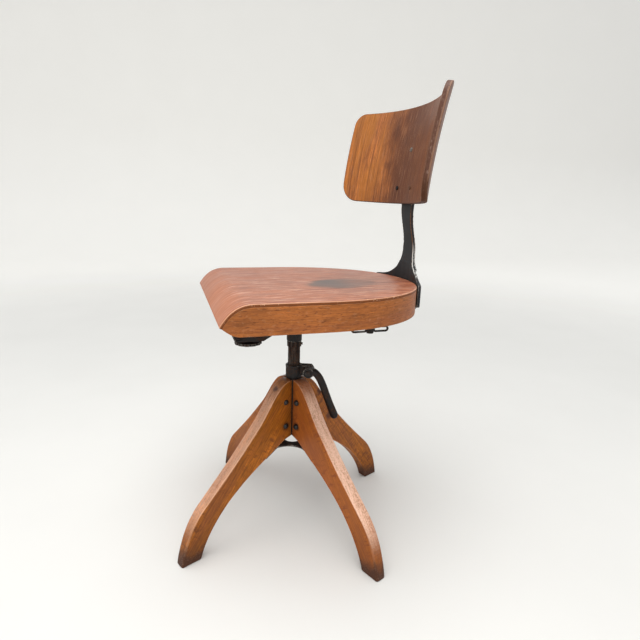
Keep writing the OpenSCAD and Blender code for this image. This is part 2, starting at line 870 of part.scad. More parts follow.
module leg_screw_holes() {
    for (r = cross_screw_r)
        on_slope(r) translate([0, 0, -2]) cylinder(d = cross_screw_d + 2 * seat_gap, h = 20);
}

module left_leg() { in_base(leg_turns[0]) leg(); }
module rear_leg() { in_base(leg_turns[1]) leg(); }
module right_leg() { in_base(leg_turns[2]) leg(); }
module front_leg() { in_base(leg_turns[3]) leg(); }

module leg_bolts() {
    color("darkslategray")
        for (a = leg_turns)
            for (z = bolt_up)
                in_base(a)
                    translate([bolt_r, leg_t / 2 + seat_gap, z])
                        rotate([-90, 0, 0])
                            union() {
                                dome(leg_head_d, 4);
                                translate([0, 0, -leg_t - 4.6])
                                    cylinder(d = leg_bolt_d, h = leg_t + 5.6);
                            }
}

module leg_cap_nuts() {
    color("darkslategray")
        for (a = leg_turns)
            for (z = bolt_up)
                in_base(a)
                    translate([bolt_r, -leg_t / 2 - seat_gap, z])
                        rotate([90, 0, 0])
                            difference() {
                                dome(leg_head_d, 6.5);
                                translate([0, 0, -1])
                                    cylinder(d = leg_bolt_d + 2 * seat_gap, h = 5.6);
                            }
}

module hub_ears() {
    for (s = [-1, 1])
        translate([0, s * (slit_w + ear_t) / 2, 0]) {
            translate([ear_reach, 0, clamp_z])
                rotate([90, 0, 0]) cylinder(r = ear_r, h = ear_t, center = true);
            translate([0, -ear_t / 2, clamp_z - ear_r])
                cube([ear_reach, ear_t, 2 * ear_r]);
        }
}

module column_hub() {
    color("dimgray")
        in_base(0)
            difference() {
                union() {
                    translate([0, 0, sleeve_low]) cylinder(r = sleeve_r, h = head_top - sleeve_low - 1);
                    translate([0, 0, head_top - head_h]) cylinder(r = head_r, h = head_h - 3);
                    translate([0, 0, head_top - 3]) cylinder(r1 = head_r + 0.8, r2 = head_r, h = 3);
                    rotate(45) hub_ears();
                    for (a = leg_turns)
                        rotate(a)
                            translate([0, -fin_t / 2, sleeve_low])
                                cube([fin_r, fin_t, fin_top - sleeve_low]);
                }
                translate([0, 0, sleeve_low - 1])
                    cylinder(r = post_d / 2 + post_fit, h = head_top);
                rotate(45)
                    translate([0, -slit_w / 2, head_top - head_h - 6])
                        cube([2 * ear_reach, slit_w, head_h + 8]);
                rotate(45)
                    translate([ear_reach, 0, clamp_z])
                        rotate([90, 0, 0])
                            cylinder(d = clamp_d + 2 * pin_fit, h = 4 * ear_t, center = true);
                for (a = leg_turns) rotate(a) bolt_holes();
            }
}

// The cross in plan, before its arms are bent down
module cross_plan() {
    hollow = 38;
    difference() {
        union() {
            circle(cross_r + 17);
            for (a = leg_turns)
                rotate(a)
                    translate([0, -leg_t / 2 + 2.5]) square([cross_arm, leg_t - 5]);
        }
        for (a = leg_turns)
            rotate(a + 45) translate([cross_r + hollow, 0]) circle(hollow);
        circle(d = cross_hole);
    }
}

module iron_cross() {
    bend = cross_bend;
    top = low_line(bend)[1] - seat_gap;
    color("dimgray")
        in_base(0)
            difference() {
                union() {
                    translate([0, 0, top - cross_t])
                        linear_extrude(cross_t)
                            intersection() {
                                cross_plan();
                                square(2 * bend, center = true);
                            }
                    for (a = leg_turns)
                        rotate(a)
                            translate([bend, 0, top])
                                rotate([0, leg_slope, 0])
                                    translate([-bend, 0, -cross_t])
                                        linear_extrude(cross_t)
                                            intersection() {
                                                cross_plan();
                                                translate([bend - 0.5, -40]) square([cross_arm, 80]);
                                            }
                }
                for (a = leg_turns)
                    rotate(a)
                        for (r = cross_screw_r)
                            on_slope(r)
                                translate([0, 0, -cross_t - 1])
                                    cylinder(d = cross_screw_d + 2 * seat_gap, h = cross_t + 2);
            }
}

module cross_screws() {
    color("gray")
        for (a = leg_turns)
            for (r = cross_screw_r)
                in_base(a)
                    on_slope(r)
                        translate([0, 0, -cross_t - 2 * seat_gap])
                            union() {
                                cylinder(d = cross_screw_d, h = cross_t + 14);
                                rotate([180, 0, 0]) dome(2 * cross_screw_d, 2.4);
                            }
}

module clamp_screw() {
    tip = lever_off + lever_hub_t + 1.5;
    head_y = slit_w / 2 + ear_t + seat_gap;
    color("gray")
        in_base(45)
            translate([ear_reach, 0, clamp_z])
                union() {
                    rotate([90, 0, 0])
                        translate([0, 0, -head_y - 1]) cylinder(d = clamp_d, h = head_y + 1 + tip);
                    translate([0, head_y, 0]) rotate([-90, 0, 0]) cylinder(d = 17, h = 6, $fn = 6);
                }
}

// Lever: an eye on the clamp screw and a round bar bent down from it
lever_path_a = [[0, 2], [14, 6], [23, -9], [32, -34]];
lever_path_b = [[32, -34], [41, -59], [47, -72], [53, -87]];
lever_sides = 16;

// A ring of the bar round a point of its path, square to the direction s
function lever_ring(p, s, r) = [for (j = [0 : lever_sides - 1])
    let (b = 360 * j / lever_sides, q = r * cos(b))
    [p[0] - s[1] * q, r * sin(b), p[1] + s[0] * q]];

module lever_bar() {
    path = concat(run(lever_path_a, 9, 2), run(lever_path_b, 8, 1));
    slopes = concat([for (i = [2 : 9]) unit(bez_slope(lever_path_a, i / 9))],
        [for (i = [1 : 8]) unit(bez_slope(lever_path_b, i / 8))]);
    n = len(path) - 1;
    grip = lever_d / 2 * 1.08;
    loft(concat(
        [for (i = [0 : n]) lever_ring(path[i], slopes[i], lever_d / 2 * (1 + 0.02 * max(0, i - n + 4)))],
        [for (f = [25, 50, 70, 82]) lever_ring(path[n] + slopes[n] * grip * sin(f), slopes[n], grip * cos(f))]));
}

module clamp_lever() {
    color("darkslategray")
        in_base(45)
            translate([ear_reach, -lever_off - lever_hub_t / 2, clamp_z])
                difference() {
                    union() {
                        rotate([90, 0, 0])
                            cylinder(r = lever_hub_r, h = lever_hub_t, center = true);
                        lever_bar();
                    }
                    rotate([90, 0, 0])
                        cylinder(d = clamp_d + 2 * pin_fit, h = 2 * lever_hub_t, center = true);
                }
}

module post() {
    color("dimgray")
        difference() {
            translate([0, 0, post_low]) cylinder(d = post_d, h = post_top - post_low);
            translate([0, 0, post_low - 1]) cylinder(d = post_d - 10, h = post_top - post_low - 28);
            translate([0, 0, post_top]) sphere(ball_r + seat_gap);
            translate([0, 0, socket_screw_z - socket_screw_d / 2 - 1])
                difference() {
                    cylinder(d = post_d + 2, h = socket_screw_d + 2);
                    cylinder(d = post_d - 3, h = socket_screw_d + 2);
                }
        }
}

module thrust_ball() {
    color("silver") translate([0, 0, post_top]) sphere(ball_r);
}

stop_screw_d = 5;
stop_turn = 70;

module stop_ring() {
    color("dimgray")
        difference() {
            translate([0, 0, ring_z]) cylinder(d = post_d + 4, h = ring_h);
            translate([0, 0, ring_z - 1]) cylinder(r = post_d / 2 + post_fit, h = ring_h + 2);
            rotate(stop_turn)
                translate([0, 0, ring_z + ring_h / 2])
                    rotate([0, 90, 0]) cylinder(d = stop_screw_d + 2 * pin_fit, h = post_d);
        }
}

module stop_screw() {
    color("gray")
        rotate(stop_turn)
            translate([post_d / 2 + seat_gap, 0, ring_z + ring_h / 2])
                rotate([0, 90, 0])
                    difference() {
                        cylinder(d = stop_screw_d, h = 4.5);
                        translate([-4, -0.5, 3.5]) cube([8, 1, 2]);
                    }
}

column_hub();
left_leg();
rear_leg();
right_leg();
front_leg();
leg_bolts();
leg_cap_nuts();
iron_cross();
cross_screws();
clamp_screw();
clamp_lever();
post();
stop_ring();
stop_screw();
thrust_ball();
seat_board();
side_board();
front_rail();
cross_rail(front_rail_y);  // front_cross_rail
cross_rail(rear_rail_y);  // rear_cross_rail
seat_bracket();
socket_screw();
bracket_screws();
spring_rod();
spring_cup();
tilt_spring();
tilt_pin();
pin_rings();
rocker_frame();
hand_wheel();
back_stem();
back_tongue();
tongue_rivets();
back_panel();
panel_screws();
lock_screw();
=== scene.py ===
"""Architects chair: the looks of its wooden and iron pieces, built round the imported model."""

import math
from functools import cache

import bmesh
import bpy
import numpy as np
from bpy.props import BoolProperty, FloatProperty, FloatVectorProperty, PointerProperty
from mathutils import Matrix, Vector, noise


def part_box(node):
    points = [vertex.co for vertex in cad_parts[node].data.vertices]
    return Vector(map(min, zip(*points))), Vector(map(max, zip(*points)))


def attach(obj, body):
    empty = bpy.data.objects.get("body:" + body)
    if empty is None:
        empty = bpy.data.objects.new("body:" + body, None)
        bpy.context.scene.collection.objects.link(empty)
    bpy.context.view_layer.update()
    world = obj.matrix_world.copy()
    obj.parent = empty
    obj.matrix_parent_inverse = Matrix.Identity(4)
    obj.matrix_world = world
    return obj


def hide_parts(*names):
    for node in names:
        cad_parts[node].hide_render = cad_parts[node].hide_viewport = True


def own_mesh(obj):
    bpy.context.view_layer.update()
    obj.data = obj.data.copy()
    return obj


bl_info = {
    "name": "Architects chair",
    "version": (1, 0, 0),
    "blender": (4, 5, 0),
    "location": "View3D > Sidebar > Chair",
    "description": "Builds the wooden, iron and steel pieces of a swivelling architects chair",
    "category": "Object",
}

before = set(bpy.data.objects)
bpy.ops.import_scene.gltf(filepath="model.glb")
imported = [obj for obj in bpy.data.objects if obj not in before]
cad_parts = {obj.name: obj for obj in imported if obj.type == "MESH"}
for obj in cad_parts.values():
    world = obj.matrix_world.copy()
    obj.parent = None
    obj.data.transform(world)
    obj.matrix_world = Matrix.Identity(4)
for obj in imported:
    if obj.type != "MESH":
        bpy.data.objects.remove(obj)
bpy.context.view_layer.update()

MM = 0.001


# Sizes of the object, in mm and degrees, and how finely they are divided

SEAT_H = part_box("seat_board")[1].z / MM
SEAT_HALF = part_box("seat_board")[1].x / MM
SEAT_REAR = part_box("seat_board")[1].y / MM
SEAT_FRONT = -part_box("seat_board")[0].y / MM
REAR_ROUND = 2.2
BOARD_T = 5
SEAT_GAP = 0.1
APRON_H = 50
APRON_T = 16
ROLL_RUN = 53
ROLL_DROP = 34
REAR_END = 88
SEAT_COLS = 16

PANEL_Z = 649.5
PANEL_H = 186
PANEL_HALF = 194.5
PANEL_T = 10
PANEL_R = 295
PANEL_Y = 214
PANEL_LEAN = math.radians(4.7)
PANEL_SWEEP = 16
PANEL_TOP_R = 24
PANEL_LOW_R = 37
PANEL_ANGLES = (0, 4, 8, 13, 19, 26, 34, 43, 53, 64, 76, 90)
PANEL_COLS = 22

LEG_TURNS = {"left_leg": 24, "rear_leg": 114, "right_leg": 204, "front_leg": 294}
# Each leg's share of the red tone, which also sets how strong the painted sheen on its upper
# faces is.
LEG_RED_AND_SHEEN = {"left_leg": 1.0, "rear_leg": 0.15, "right_leg": 0.5, "front_leg": 0.0}
LEG_T = 26
LEG_FOOT_T = 21
LEG_CHAMFER = 2
LEG_EASE = 1.5
LEG_OUTER = (
    (6, ((12, 305), (36, 306), (50, 285), (68, 258))),
    (4, ((68, 258), (86, 230.6), (99, 218.1), (118, 196.7))),
    (7, ((118, 196.7), (150, 160.7), (178, 133.9), (213, 99.1))),
    (8, ((213, 99.1), (239, 71.1), (251, 35.1), (257, 2))),
)
LEG_INNER = (
    (3, ((12, 187), (17, 185.8), (26, 183.4), (32, 181))),
    (7, ((32, 181), (49, 170.9), (67, 160.1), (84, 150))),
    (7, ((84, 150), (110, 134.5), (134, 117.7), (158, 95.9))),
    (8, ((158, 95.9), (188, 67), (209, 34.4), (218, 4))),
)
LEG_LAST = 25
LEG_THIN_FROM, LEG_THIN_RUN = 8, 18
LEG_FOOT_FROM = 18

SPRING_D = 30
WIRE_D = 3.6
SPRING_TURNS = 7
WIRE_STEPS, WIRE_SIDES = 36, 12
ROD_Y = -91

EDGE_ANGLES = (0, 22.5, 45, 67.5, 90)
EDGE_PLACES = (0, 1.2, 3, 7, 14)

# In metres: the bolts on a leg, the knots and spots that show, the stem's wings, which thin
# by the share WING_THIN from WING_TAPER to their tips, and the grid that rounds the rails

BOLT_OUT = 0.0305
BOLT_LOW = 0.211
BOLT_APART = 0.051
LEG_KNOTS = (
    ((-0.0124, 0.0599, 0.2655), 0.008),
    ((-0.0247, 0.0874, 0.2015), 0.011),
    ((0.0177, -0.0408, 0.2899), 0.006),
)
SEAT_SPOTS = (((0.1915, -0.1675, 0.4985), 0.0045), ((0.186, -0.163, 0.4995), 0.003))
WING_TAPER = 0.05
WING_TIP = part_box("back_stem")[1].x
WING_H = 0.016
WING_THIN = 0.85
RAIL_STEP = 0.0022

# Looks: the grain's slope down a leg and its shift from leg to leg, the strengths that a wood
# gives for its figure, the panel's plies and the wear of metal without wear marks

GRAIN_OUT, GRAIN_DOWN = 0.602, 0.798
GRAIN_SHIFT = (0.71, 0.37, 0.23)
FIGURE = ("Streaks", "Lines", "Pores", "Patches", "Flecks", "Mottle")
PLY_WAVES = 420
PLAIN_WEAR = 0.12

CAMERA_AT = (0.8824, -0.2333, 0.6454)
CAMERA_RIGHT = (0.3007, 0.9533, 0.0295)
CAMERA_UP = (-0.2336, 0.0436, 0.9713)
CAMERA_BACK = (0.9247, -0.2990, 0.2358)
CAMERA_LENS = 27.06


def srgb(code):
    """A hex colour as linear red, green and blue."""
    parts = [int(code[i : i + 2], 16) / 255 for i in (0, 2, 4)]
    return tuple(c / 12.92 if c <= 0.04045 else ((c + 0.055) / 1.055) ** 2.4 for c in parts)


# Values that a user may change


def colour_choice(name, about, code):
    """A colour that a user may change."""
    return FloatVectorProperty(
        name=name, description=about, subtype="COLOR", size=3, min=0, max=1, default=srgb(code)
    )


def length_choice(name, about, low, high, usual):
    """A length in metres that a user may change."""
    limits = {"min": low, "max": high, "default": usual}
    return FloatProperty(name=name, description=about, unit="LENGTH", **limits)


class ChairFinish(bpy.types.PropertyGroup):
    """Colours and finish of the chair."""

    beech: colour_choice("Beech", "Varnished beech of the legs", "A35D14")
    seat_veneer: colour_choice("Seat veneer", "Veneer of the seat's top", "A16244")
    back_veneer: colour_choice("Back veneer", "Veneer of the back panel", "A96530")
    iron: colour_choice("Iron", "Dark painted iron", "1C1A1A")
    rust: colour_choice("Rust", "Rust on the post and in the iron's hollows", "49301F")
    steel: colour_choice("Steel", "Bare steel of the small hardware", "8C8880")
    age: FloatProperty(
        name="Age",
        description="How worn the edges and the varnish are",
        subtype="FACTOR",
        min=0,
        max=1,
        default=0.7,
    )


class ChairBuild(bpy.types.PropertyGroup):
    """How finely the pieces are built."""

    cast_step: length_choice(
        "Casting step", "Size of the grid that rounds the cast pieces", 0.0008, 0.004, 0.0012
    )
    edge_round: length_choice(
        "Edge rounding", "Rounding along the upper edge of the seat board", 0.0005, 0.0024, 0.002
    )
    stage: BoolProperty(
        name="Stage",
        description="Set up the floor, the lights and the sky too",
        default=True,
    )


def finish():
    """The colours and the age that a user may have changed."""
    return bpy.context.scene.chair_finish


# Curves and meshes


def bezier(p, t):
    """A point of a cubic curve through or near four points, at a share of its way."""
    u = 1 - t
    k = (u * u * u, 3 * u * u * t, 3 * u * t * t, t * t * t)
    return tuple(sum(w * q[i] for w, q in zip(k, p)) for i in range(len(p[0])))


def bezier_slope(p, t):
    """The direction of that curve, one long."""
    u = 1 - t
    k = (3 * u * u, 6 * u * t, 3 * t * t)
    d = [sum(w * (p[j + 1][i] - p[j][i]) for j, w in enumerate(k)) for i in range(len(p[0]))]
    length = math.hypot(*d)
    return tuple(x / length for x in d)


def spaced(low, high, step):
    """Evenly spaced values from low to high, about a step apart."""
    n = max(1, round(abs(high - low) / step))
    return [low + (high - low) * i / n for i in range(n + 1)]


def add_object(name, data):
    obj = bpy.data.objects.new(name, data)
    bpy.context.scene.collection.objects.link(obj)
    return obj


def write_mark(mesh, key, values):
    """Leaves a number on each point of a mesh, or a place for its grain."""
    kind, field = ("FLOAT_VECTOR", "vector") if key == "grain" else ("FLOAT", "value")
    layer = mesh.attributes.new(key, kind, "POINT")
    layer.data.foreach_set(field, np.array(values, np.float32).ravel())


def make_object(name, points, faces, marks, sharp=34):
    """A mesh object from points in mm, with a value per point for each mark."""
    mesh = bpy.data.meshes.new(name)
    mesh.from_pydata([tuple(c * MM for c in p) for p in points], [], faces)
    for key, values in marks.items():
        write_mark(mesh, key, values)
    soften(mesh, sharp)
    return add_object(name, mesh)


def soften(mesh, sharp):
    """Smooth shading that keeps edges sharper than an angle crisp."""
    bm = bmesh.new()
    bm.from_mesh(mesh)
    bmesh.ops.recalc_face_normals(bm, faces=bm.faces)
    limit = math.radians(sharp)
    for f in bm.faces:
        f.smooth = True
    for e in bm.edges:
        e.smooth = e.calc_face_angle(0) < limit
    bm.to_mesh(mesh)
    bm.free()
    mesh.update()


def stand_for(obj, material, slot, body, *nodes):
    """Gives a piece its material, and puts it in the place of its CAD nodes."""
    obj.data.materials.clear()
    obj.data.materials.append(material)
    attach(obj, body)
    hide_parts(*nodes)


def tube_faces(rings, sides):
    """Faces that join rings of points into a closed tube."""
    faces = []
    for j in range(rings - 1):
        for i in range(sides):
            k = (i + 1) % sides
            faces.append((j * sides + i, j * sides + k, (j + 1) * sides + k, (j + 1) * sides + i))
    return faces + [tuple(range(sides))[::-1], tuple(range((rings - 1) * sides, rings * sides))]


def rim_of(rows, cols):
    """Index pairs round the border of a grid, in order."""
    return (
        [(0, i) for i in range(cols)]
        + [(j, cols - 1) for j in range(1, rows)]
        + [(rows - 1, i) for i in range(cols - 2, -1, -1)]
        + [(j, 0) for j in range(rows - 2, 0, -1)]
    )


def slab(place, layers, rows, cols):
    """A closed board: a grid on each face, joined round the border by rings.
    place(row, column, inset, depth) gives a point. layers are pairs of inset and depth."""
    points, faces, rims, depth_of = [], [], [], []
    border = rim_of(rows, cols)
    last = len(layers) - 1
    for n, (inset, depth) in enumerate(layers):
        start = len(points)
        if n in (0, last):
            points += [place(j, i, inset, depth) for j in range(rows) for i in range(cols)]
            for j in range(rows - 1):
                for i in range(cols - 1):
                    a = start + j * cols + i
                    quad = (a, a + 1, a + cols + 1, a + cols)
                    faces.append(quad if n == 0 else quad[::-1])
            rims.append([start + j * cols + i for j, i in border])
        else:
            points += [place(j, i, inset, depth) for j, i in border]
            rims.append(list(range(start, start + len(border))))
        depth_of += [n] * (len(points) - start)
    for low, high in zip(rims, rims[1:]):
        for k in range(len(border)):
            m = (k + 1) % len(border)
            faces.append((low[k], high[k], high[m], low[m]))
    return points, faces, depth_of


def corner(radius, angles):
    """Distances from a corner's two sides at points along its rounding."""
    turns = [math.radians(a) for a in angles]
    return [(radius * (1 - math.sin(a)), radius * (1 - math.cos(a))) for a in turns]


def edge_layers(top, low, thickness):
    """Insets and depths for a board with its two edges rounded."""
    lower = [(inset, thickness - up) for up, inset in corner(low, EDGE_ANGLES)]
    return corner(top, EDGE_ANGLES) + lower


def column_places(half, count):
    """Places across a board: some close to each edge, the others even."""
    side = [-(half - min(d, half * 0.9 * d / EDGE_PLACES[-1])) for d in EDGE_PLACES]
    middle = [side[-1] * (1 - 2 * i / count) for i in range(1, count)]
    return side + middle + [-x for x in side[::-1]]


def to_edge(points, rows):
    """Distance of each flat point from a board's outline, in mm. rows are pairs of half width
    and place."""
    p = np.array(points, float)[:, None, :]
    a = np.array(list(rows) + [(-half, s) for half, s in reversed(rows)], float)
    b = np.roll(a, -1, axis=0)
    d = b - a
    t = np.clip(((p - a) * d).sum(2) / np.maximum((d * d).sum(1), 1e-9), 0, 1)
    return np.linalg.norm(p - (a + t[..., None] * d), axis=2).min(1)


def board(rows_at, cols, layers, point_at):
    """A board with its grain along it: the points, faces, grain, layer of each point, and how
    far each is from the outline, in mm."""
    flat, grain = [], []

    def place(j, i, inset, depth):
        half, along = rows_at(inset)[j]
        across = column_places(half, cols)[i]
        flat.append((across, along))
        grain.append((along * MM, across * MM, depth * MM))
        return point_at(across, along, depth)

    rows = rows_at(0)
    points, faces, layer = slab(place, layers, len(rows), len(column_places(0, cols)))
    return points, faces, grain, layer, to_edge(flat, rows)


# Copies of the cast pieces


def cast_copy(name, node, step, rounds, keep):
    """A copy of a CAD node with the soft edges of a casting."""
    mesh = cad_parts[node].data.copy()
    mesh.name = name
    mesh.materials.clear()
    bm = bmesh.new()
    bm.from_mesh(mesh)
    bmesh.ops.remove_doubles(bm, verts=bm.verts, dist=2e-6)
    bm.to_mesh(mesh)
    bm.free()
    obj = add_object(name, mesh)
    remesh = obj.modifiers.new("grid", "REMESH")
    remesh.mode = "VOXEL"
    remesh.voxel_size = step
    relax = obj.modifiers.new("relax", "SMOOTH")
    relax.factor = 0.5
    relax.iterations = rounds
    thin = obj.modifiers.new("thin", "DECIMATE")
    thin.ratio = keep
    graph = bpy.context.evaluated_depsgraph_get()
    made = bpy.data.meshes.new_from_object(obj.evaluated_get(graph))
    obj.modifiers.clear()
    obj.data = made
    made.name = name
    bpy.data.meshes.remove(mesh)
    mark_wear(made)
    return obj


def mark_wear(mesh, reach=0.0018, blur=2):
    """Marks each point by how far it stands out, from flat or hollow to a worn edge."""
    bm = bmesh.new()
    bm.from_mesh(mesh)
    bm.verts.ensure_lookup_table()
    bend = np.zeros(len(bm.verts))
    area = np.zeros(len(bm.verts))
    pairs = []
    for e in bm.edges:
        value = e.calc_face_angle_signed(0) * e.calc_length()
        a, b = (v.index for v in e.verts)
        bend[a] += value
        bend[b] += value
        pairs.append((a, b))
    for f in bm.faces:
        f.smooth = True
        share = f.calc_area() / len(f.verts)
        for v in f.verts:
            area[v.index] += share
    bm.to_mesh(mesh)
    bm.free()
    value = bend / np.maximum(4 * area, 1e-12) * reach
    pairs = np.array(pairs)
    for _ in range(blur):
        total, count = value.copy(), np.ones(len(value))
        np.add.at(total, pairs[:, 0], value[pairs[:, 1]])
        np.add.at(total, pairs[:, 1], value[pairs[:, 0]])
        np.add.at(count, pairs.ravel(), 1)
        value = total / count
    write_mark(mesh, "wear", np.clip(value, -1, 1))


# Shader nodes


def arithmetic(how, swapped=False):
    """A method that joins a value and another one in a Math node."""

    def join(self, other):
        first, second = (other, self) if swapped else (self, other)
        return get(self.tree, "Math", {0: first, 1: second}, operation=how)

    return join


def part(number):
    """One of the three numbers of a vector."""
    return property(lambda self: get(self.tree, "SeparateXYZ", {0: self}, number))


class Value:
    """A node's output, which takes plain arithmetic and makes the nodes for it."""

    def __init__(self, socket):
        self.socket = socket
        self.tree = socket.id_data

    __add__ = arithmetic("ADD")
    __sub__ = arithmetic("SUBTRACT")
    __rsub__ = arithmetic("SUBTRACT", swapped=True)
    __mul__ = arithmetic("MULTIPLY")
    larger = arithmetic("MAXIMUM")
    fold = arithmetic("PINGPONG")
    x, y, z = part(0), part(1), part(2)

    def step(self, low, high, start=0.0, end=1.0):
        """Goes softly from start to end while this value goes from low to high."""
        inputs = {"Value": self, 1: low, 2: high, 3: start, 4: end}
        return get(self.tree, "MapRange", inputs, interpolation_type="SMOOTHSTEP")

    def scaled(self, scale, offset=(0, 0, 0)):
        return get(self.tree, "Mapping", {"Vector": self, "Scale": scale, "Location": offset})

    def cloud(self, scale, detail, rough, warp=0.0):
        """Even noise over this vector."""
        inputs = {"Vector": self, "Scale": scale, "Detail": detail, "Roughness": rough}
        return get(self.tree, "TexNoise", {**inputs, "Distortion": warp}, "Fac")

    def streaks(self, scale, detail, rough, offset=(0, 0, 0), warp=0.0):
        """Noise over this vector with a scale for each axis, so that it stretches."""
        return self.scaled(scale, offset).cloud(1.0, detail, rough, warp)

    def vector(self, how, other=(0, 0, 0)):
        field = "Value" if how in ("LENGTH", "DISTANCE") else "Vector"
        return get(self.tree, "VectorMath", {0: self, 1: other}, field, operation=how)

    def brighter(self, amount):
        return get(self.tree, "VectorMath", {0: self, "Scale": amount}, operation="SCALE")

    def tint(self, colour, share):
        """This colour with a share of another one."""
        return mix(share, self, colour)

    def tints(self, *layers):
        """This colour with others over it, one after the other, each with its share."""
        for colour, share in layers:
            self = self.tint(colour, share)
        return self

    def bump(self, strength, depth):
        return get(self.tree, "Bump", {"Strength": strength, "Distance": depth, "Height": self})


def feed(socket, value):
    """Links a value to an input, or sets a number, a vector or a colour's hex code there."""
    if isinstance(value, Value):
        socket.id_data.links.new(value.socket, socket)
    elif socket.type == "RGBA":
        colour = srgb(value) if isinstance(value, str) else value[:3]
        socket.default_value = (*colour, 1)
    else:
        socket.default_value = value


def feed_all(sockets, values):
    """Feeds several inputs, by name or number."""
    for key, value in values.items():
        feed(sockets[key], value)


def put(tree, kind, inputs=None, **settings):
    """Adds a shader node, sets it and feeds its inputs."""
    node = tree.nodes.new("ShaderNode" + kind)
    for key, value in settings.items():
        setattr(node, key, value)
    feed_all(node.inputs, inputs or {})
    return node


def get(tree, kind, inputs=None, field=0, **settings):
    """One output of a new node."""
    return Value(put(tree, kind, inputs, **settings).outputs[field])


def mix(share, first, second):
    """A colour between two."""
    return get(share.tree, "Mix", {0: share, 6: first, 7: second}, 2, data_type="RGBA")


def mark(tree, name, field="Fac"):
    """A value that make_object or mark_wear left on the mesh's points."""
    return get(tree, "Attribute", None, field, attribute_name=name)


def place_of(tree):
    return get(tree, "TexCoord", None, "Object")


def seen_plainly(tree):
    """1 for what the camera or a reflection sees, 0 for light that falls on the chair."""
    path = put(tree, "LightPath").outputs
    return Value(path["Is Camera Ray"]).larger(Value(path["Is Glossy Ray"]))


def group_tree(name, inputs, outputs):
    """An empty shader group. A default tells the kind of an input: a number, a colour's hex
    code, or None for a vector. Of the outputs, Color is a colour and the others are numbers."""
    tree = bpy.data.node_groups.new(name, "ShaderNodeTree")
    for label, default in inputs.items():
        kind = {float: "Float", str: "Color"}.get(type(default), "Vector")
        socket = tree.interface.new_socket(label, in_out="INPUT", socket_type="NodeSocket" + kind)
        if default is not None:
            socket.default_value = (*srgb(default), 1) if kind == "Color" else default
    for label in outputs:
        kind = "Color" if label == "Color" else "Float"
        tree.interface.new_socket(label, in_out="OUTPUT", socket_type="NodeSocket" + kind)
    ins = tree.nodes.new("NodeGroupInput").outputs
    outs = tree.nodes.new("NodeGroupOutput").inputs
    return tree, {label: Value(ins[label]) for label in inputs}, outs


def use_group(tree, name, build, inputs):
    """Places a shader group, which is built the first time it is asked for."""
    node = tree.nodes.new("ShaderNodeGroup")
    node.node_tree = bpy.data.node_groups.get(name) or build(name)
    feed_all(node.inputs, inputs)
    return {out.name: Value(out) for out in node.outputs}


def grain_group(name):
    """Wood figure along X of its vector: streaks, growth lines, flecks and short dark pores."""
    inputs = {"Grain": None, "Wood": "BC7C4B", **dict.fromkeys(FIGURE, 0.0)}
    tree, ins, outs = group_tree(name, inputs, ("Color", "Relief", "Gloss"))
    grain = ins["Grain"]
    drift = grain.streaks((5, 16, 16), 2, 0.5) * 0.012
    bent = grain.vector("ADD", get(tree, "CombineXYZ", {1: drift}))
    streak = bent.streaks((5, 260, 260), 4, 0.6)
    fine = bent.streaks((22, 1300, 900), 2, 0.5)
    wave = {"Vector": bent.scaled((1.2, 46, 30)), "Scale": 1.0, "Distortion": 5.0}
    wave |= {"Detail": 3.0, "Detail Scale": 1.4, "Detail Roughness": 0.55}
    kind = {"wave_type": "BANDS", "bands_direction": "Y", "wave_profile": "SAW"}
    rings = get(tree, "TexWave", wave, "Fac", **kind)
    patch = grain.streaks((9, 22, 22), 2, 0.55, (3, 1, 7))
    red = grain.streaks((4, 42, 40), 3, 0.5, (9, 4, 2)).step(0.45, 0.72, 0.0, 0.34)
    inputs = {"Vector": bent.scaled((150, 900, 700)), "Scale": 1.0, "Randomness": 1.0}
    cells = put(tree, "TexVoronoi", inputs).outputs
    dash = Value(cells["Distance"]).step(0.34, 0.18)
    few = get(tree, "SeparateColor", {0: Value(cells["Color"])}).step(0.62, 0.74)
    pores = dash * few * patch.step(0.42, 0.62, 0.35, 1.0) * ins["Pores"]
    fleck = bent.streaks((60, 520, 420), 3, 0.62, (4, 2, 8))
    mottle = grain.streaks((170, 52, 46), 3, 0.6, (2, 5, 1), 0.4).step(0.5, 0.66)
    mottle = mottle * patch.step(0.38, 0.6) * ins["Mottle"]
    tone = 1.0
    for figure, low, high, reach, strength in (
        (streak, 0.32, 0.68, 0.30, "Streaks"),
        (rings, 0.0, 1.0, 0.16, "Lines"),
        (patch, 0.3, 0.7, 0.26, "Patches"),
        (fine, 0.3, 0.7, 0.12, "Streaks"),
        (fleck, 0.36, 0.64, 0.3, "Flecks"),
    ):
        tone = (figure.step(low, high, -1.0, 1.0) * (ins[strength] * reach) + 1.0) * tone
    wood = ins["Wood"].brighter(tone)
    wood = wood.tints(("8A4A2E", red), ("6E3A14", mottle), ("4A2410", pores))
    gloss = patch.step(0.3, 0.7)
    feed_all(outs, {"Color": wood, "Relief": streak * 0.6 - pores, "Gloss": gloss})
    return tree


def handling_group(name):
    """Masks for rubbed edges and for grime, from the wear mark and the place."""
    inputs = {"Place": None, "Wear": 0.0, "Amount": 0.5, "Grain size": 60.0}
    tree, ins, outs = group_tree(name, inputs, ("Rubbed", "Grime"))
    place, size = ins["Place"], ins["Grain size"]
    broad = place.cloud(size, 3, 0.6)
    fine = place.cloud(size * 7.0, 3, 0.6)
    edge = ins["Wear"] + (broad * 0.7 + fine * 0.5 - 0.6) * 1.3
    speck = place.cloud(size * 3.0, 4, 0.7)
    grime = speck.step(0.52, 0.72) * broad.step(0.4, 0.7) * ins["Amount"]
    feed_all(outs, {"Rubbed": edge.step(0.42, 0.72) * ins["Amount"], "Grime": grime})
    return tree


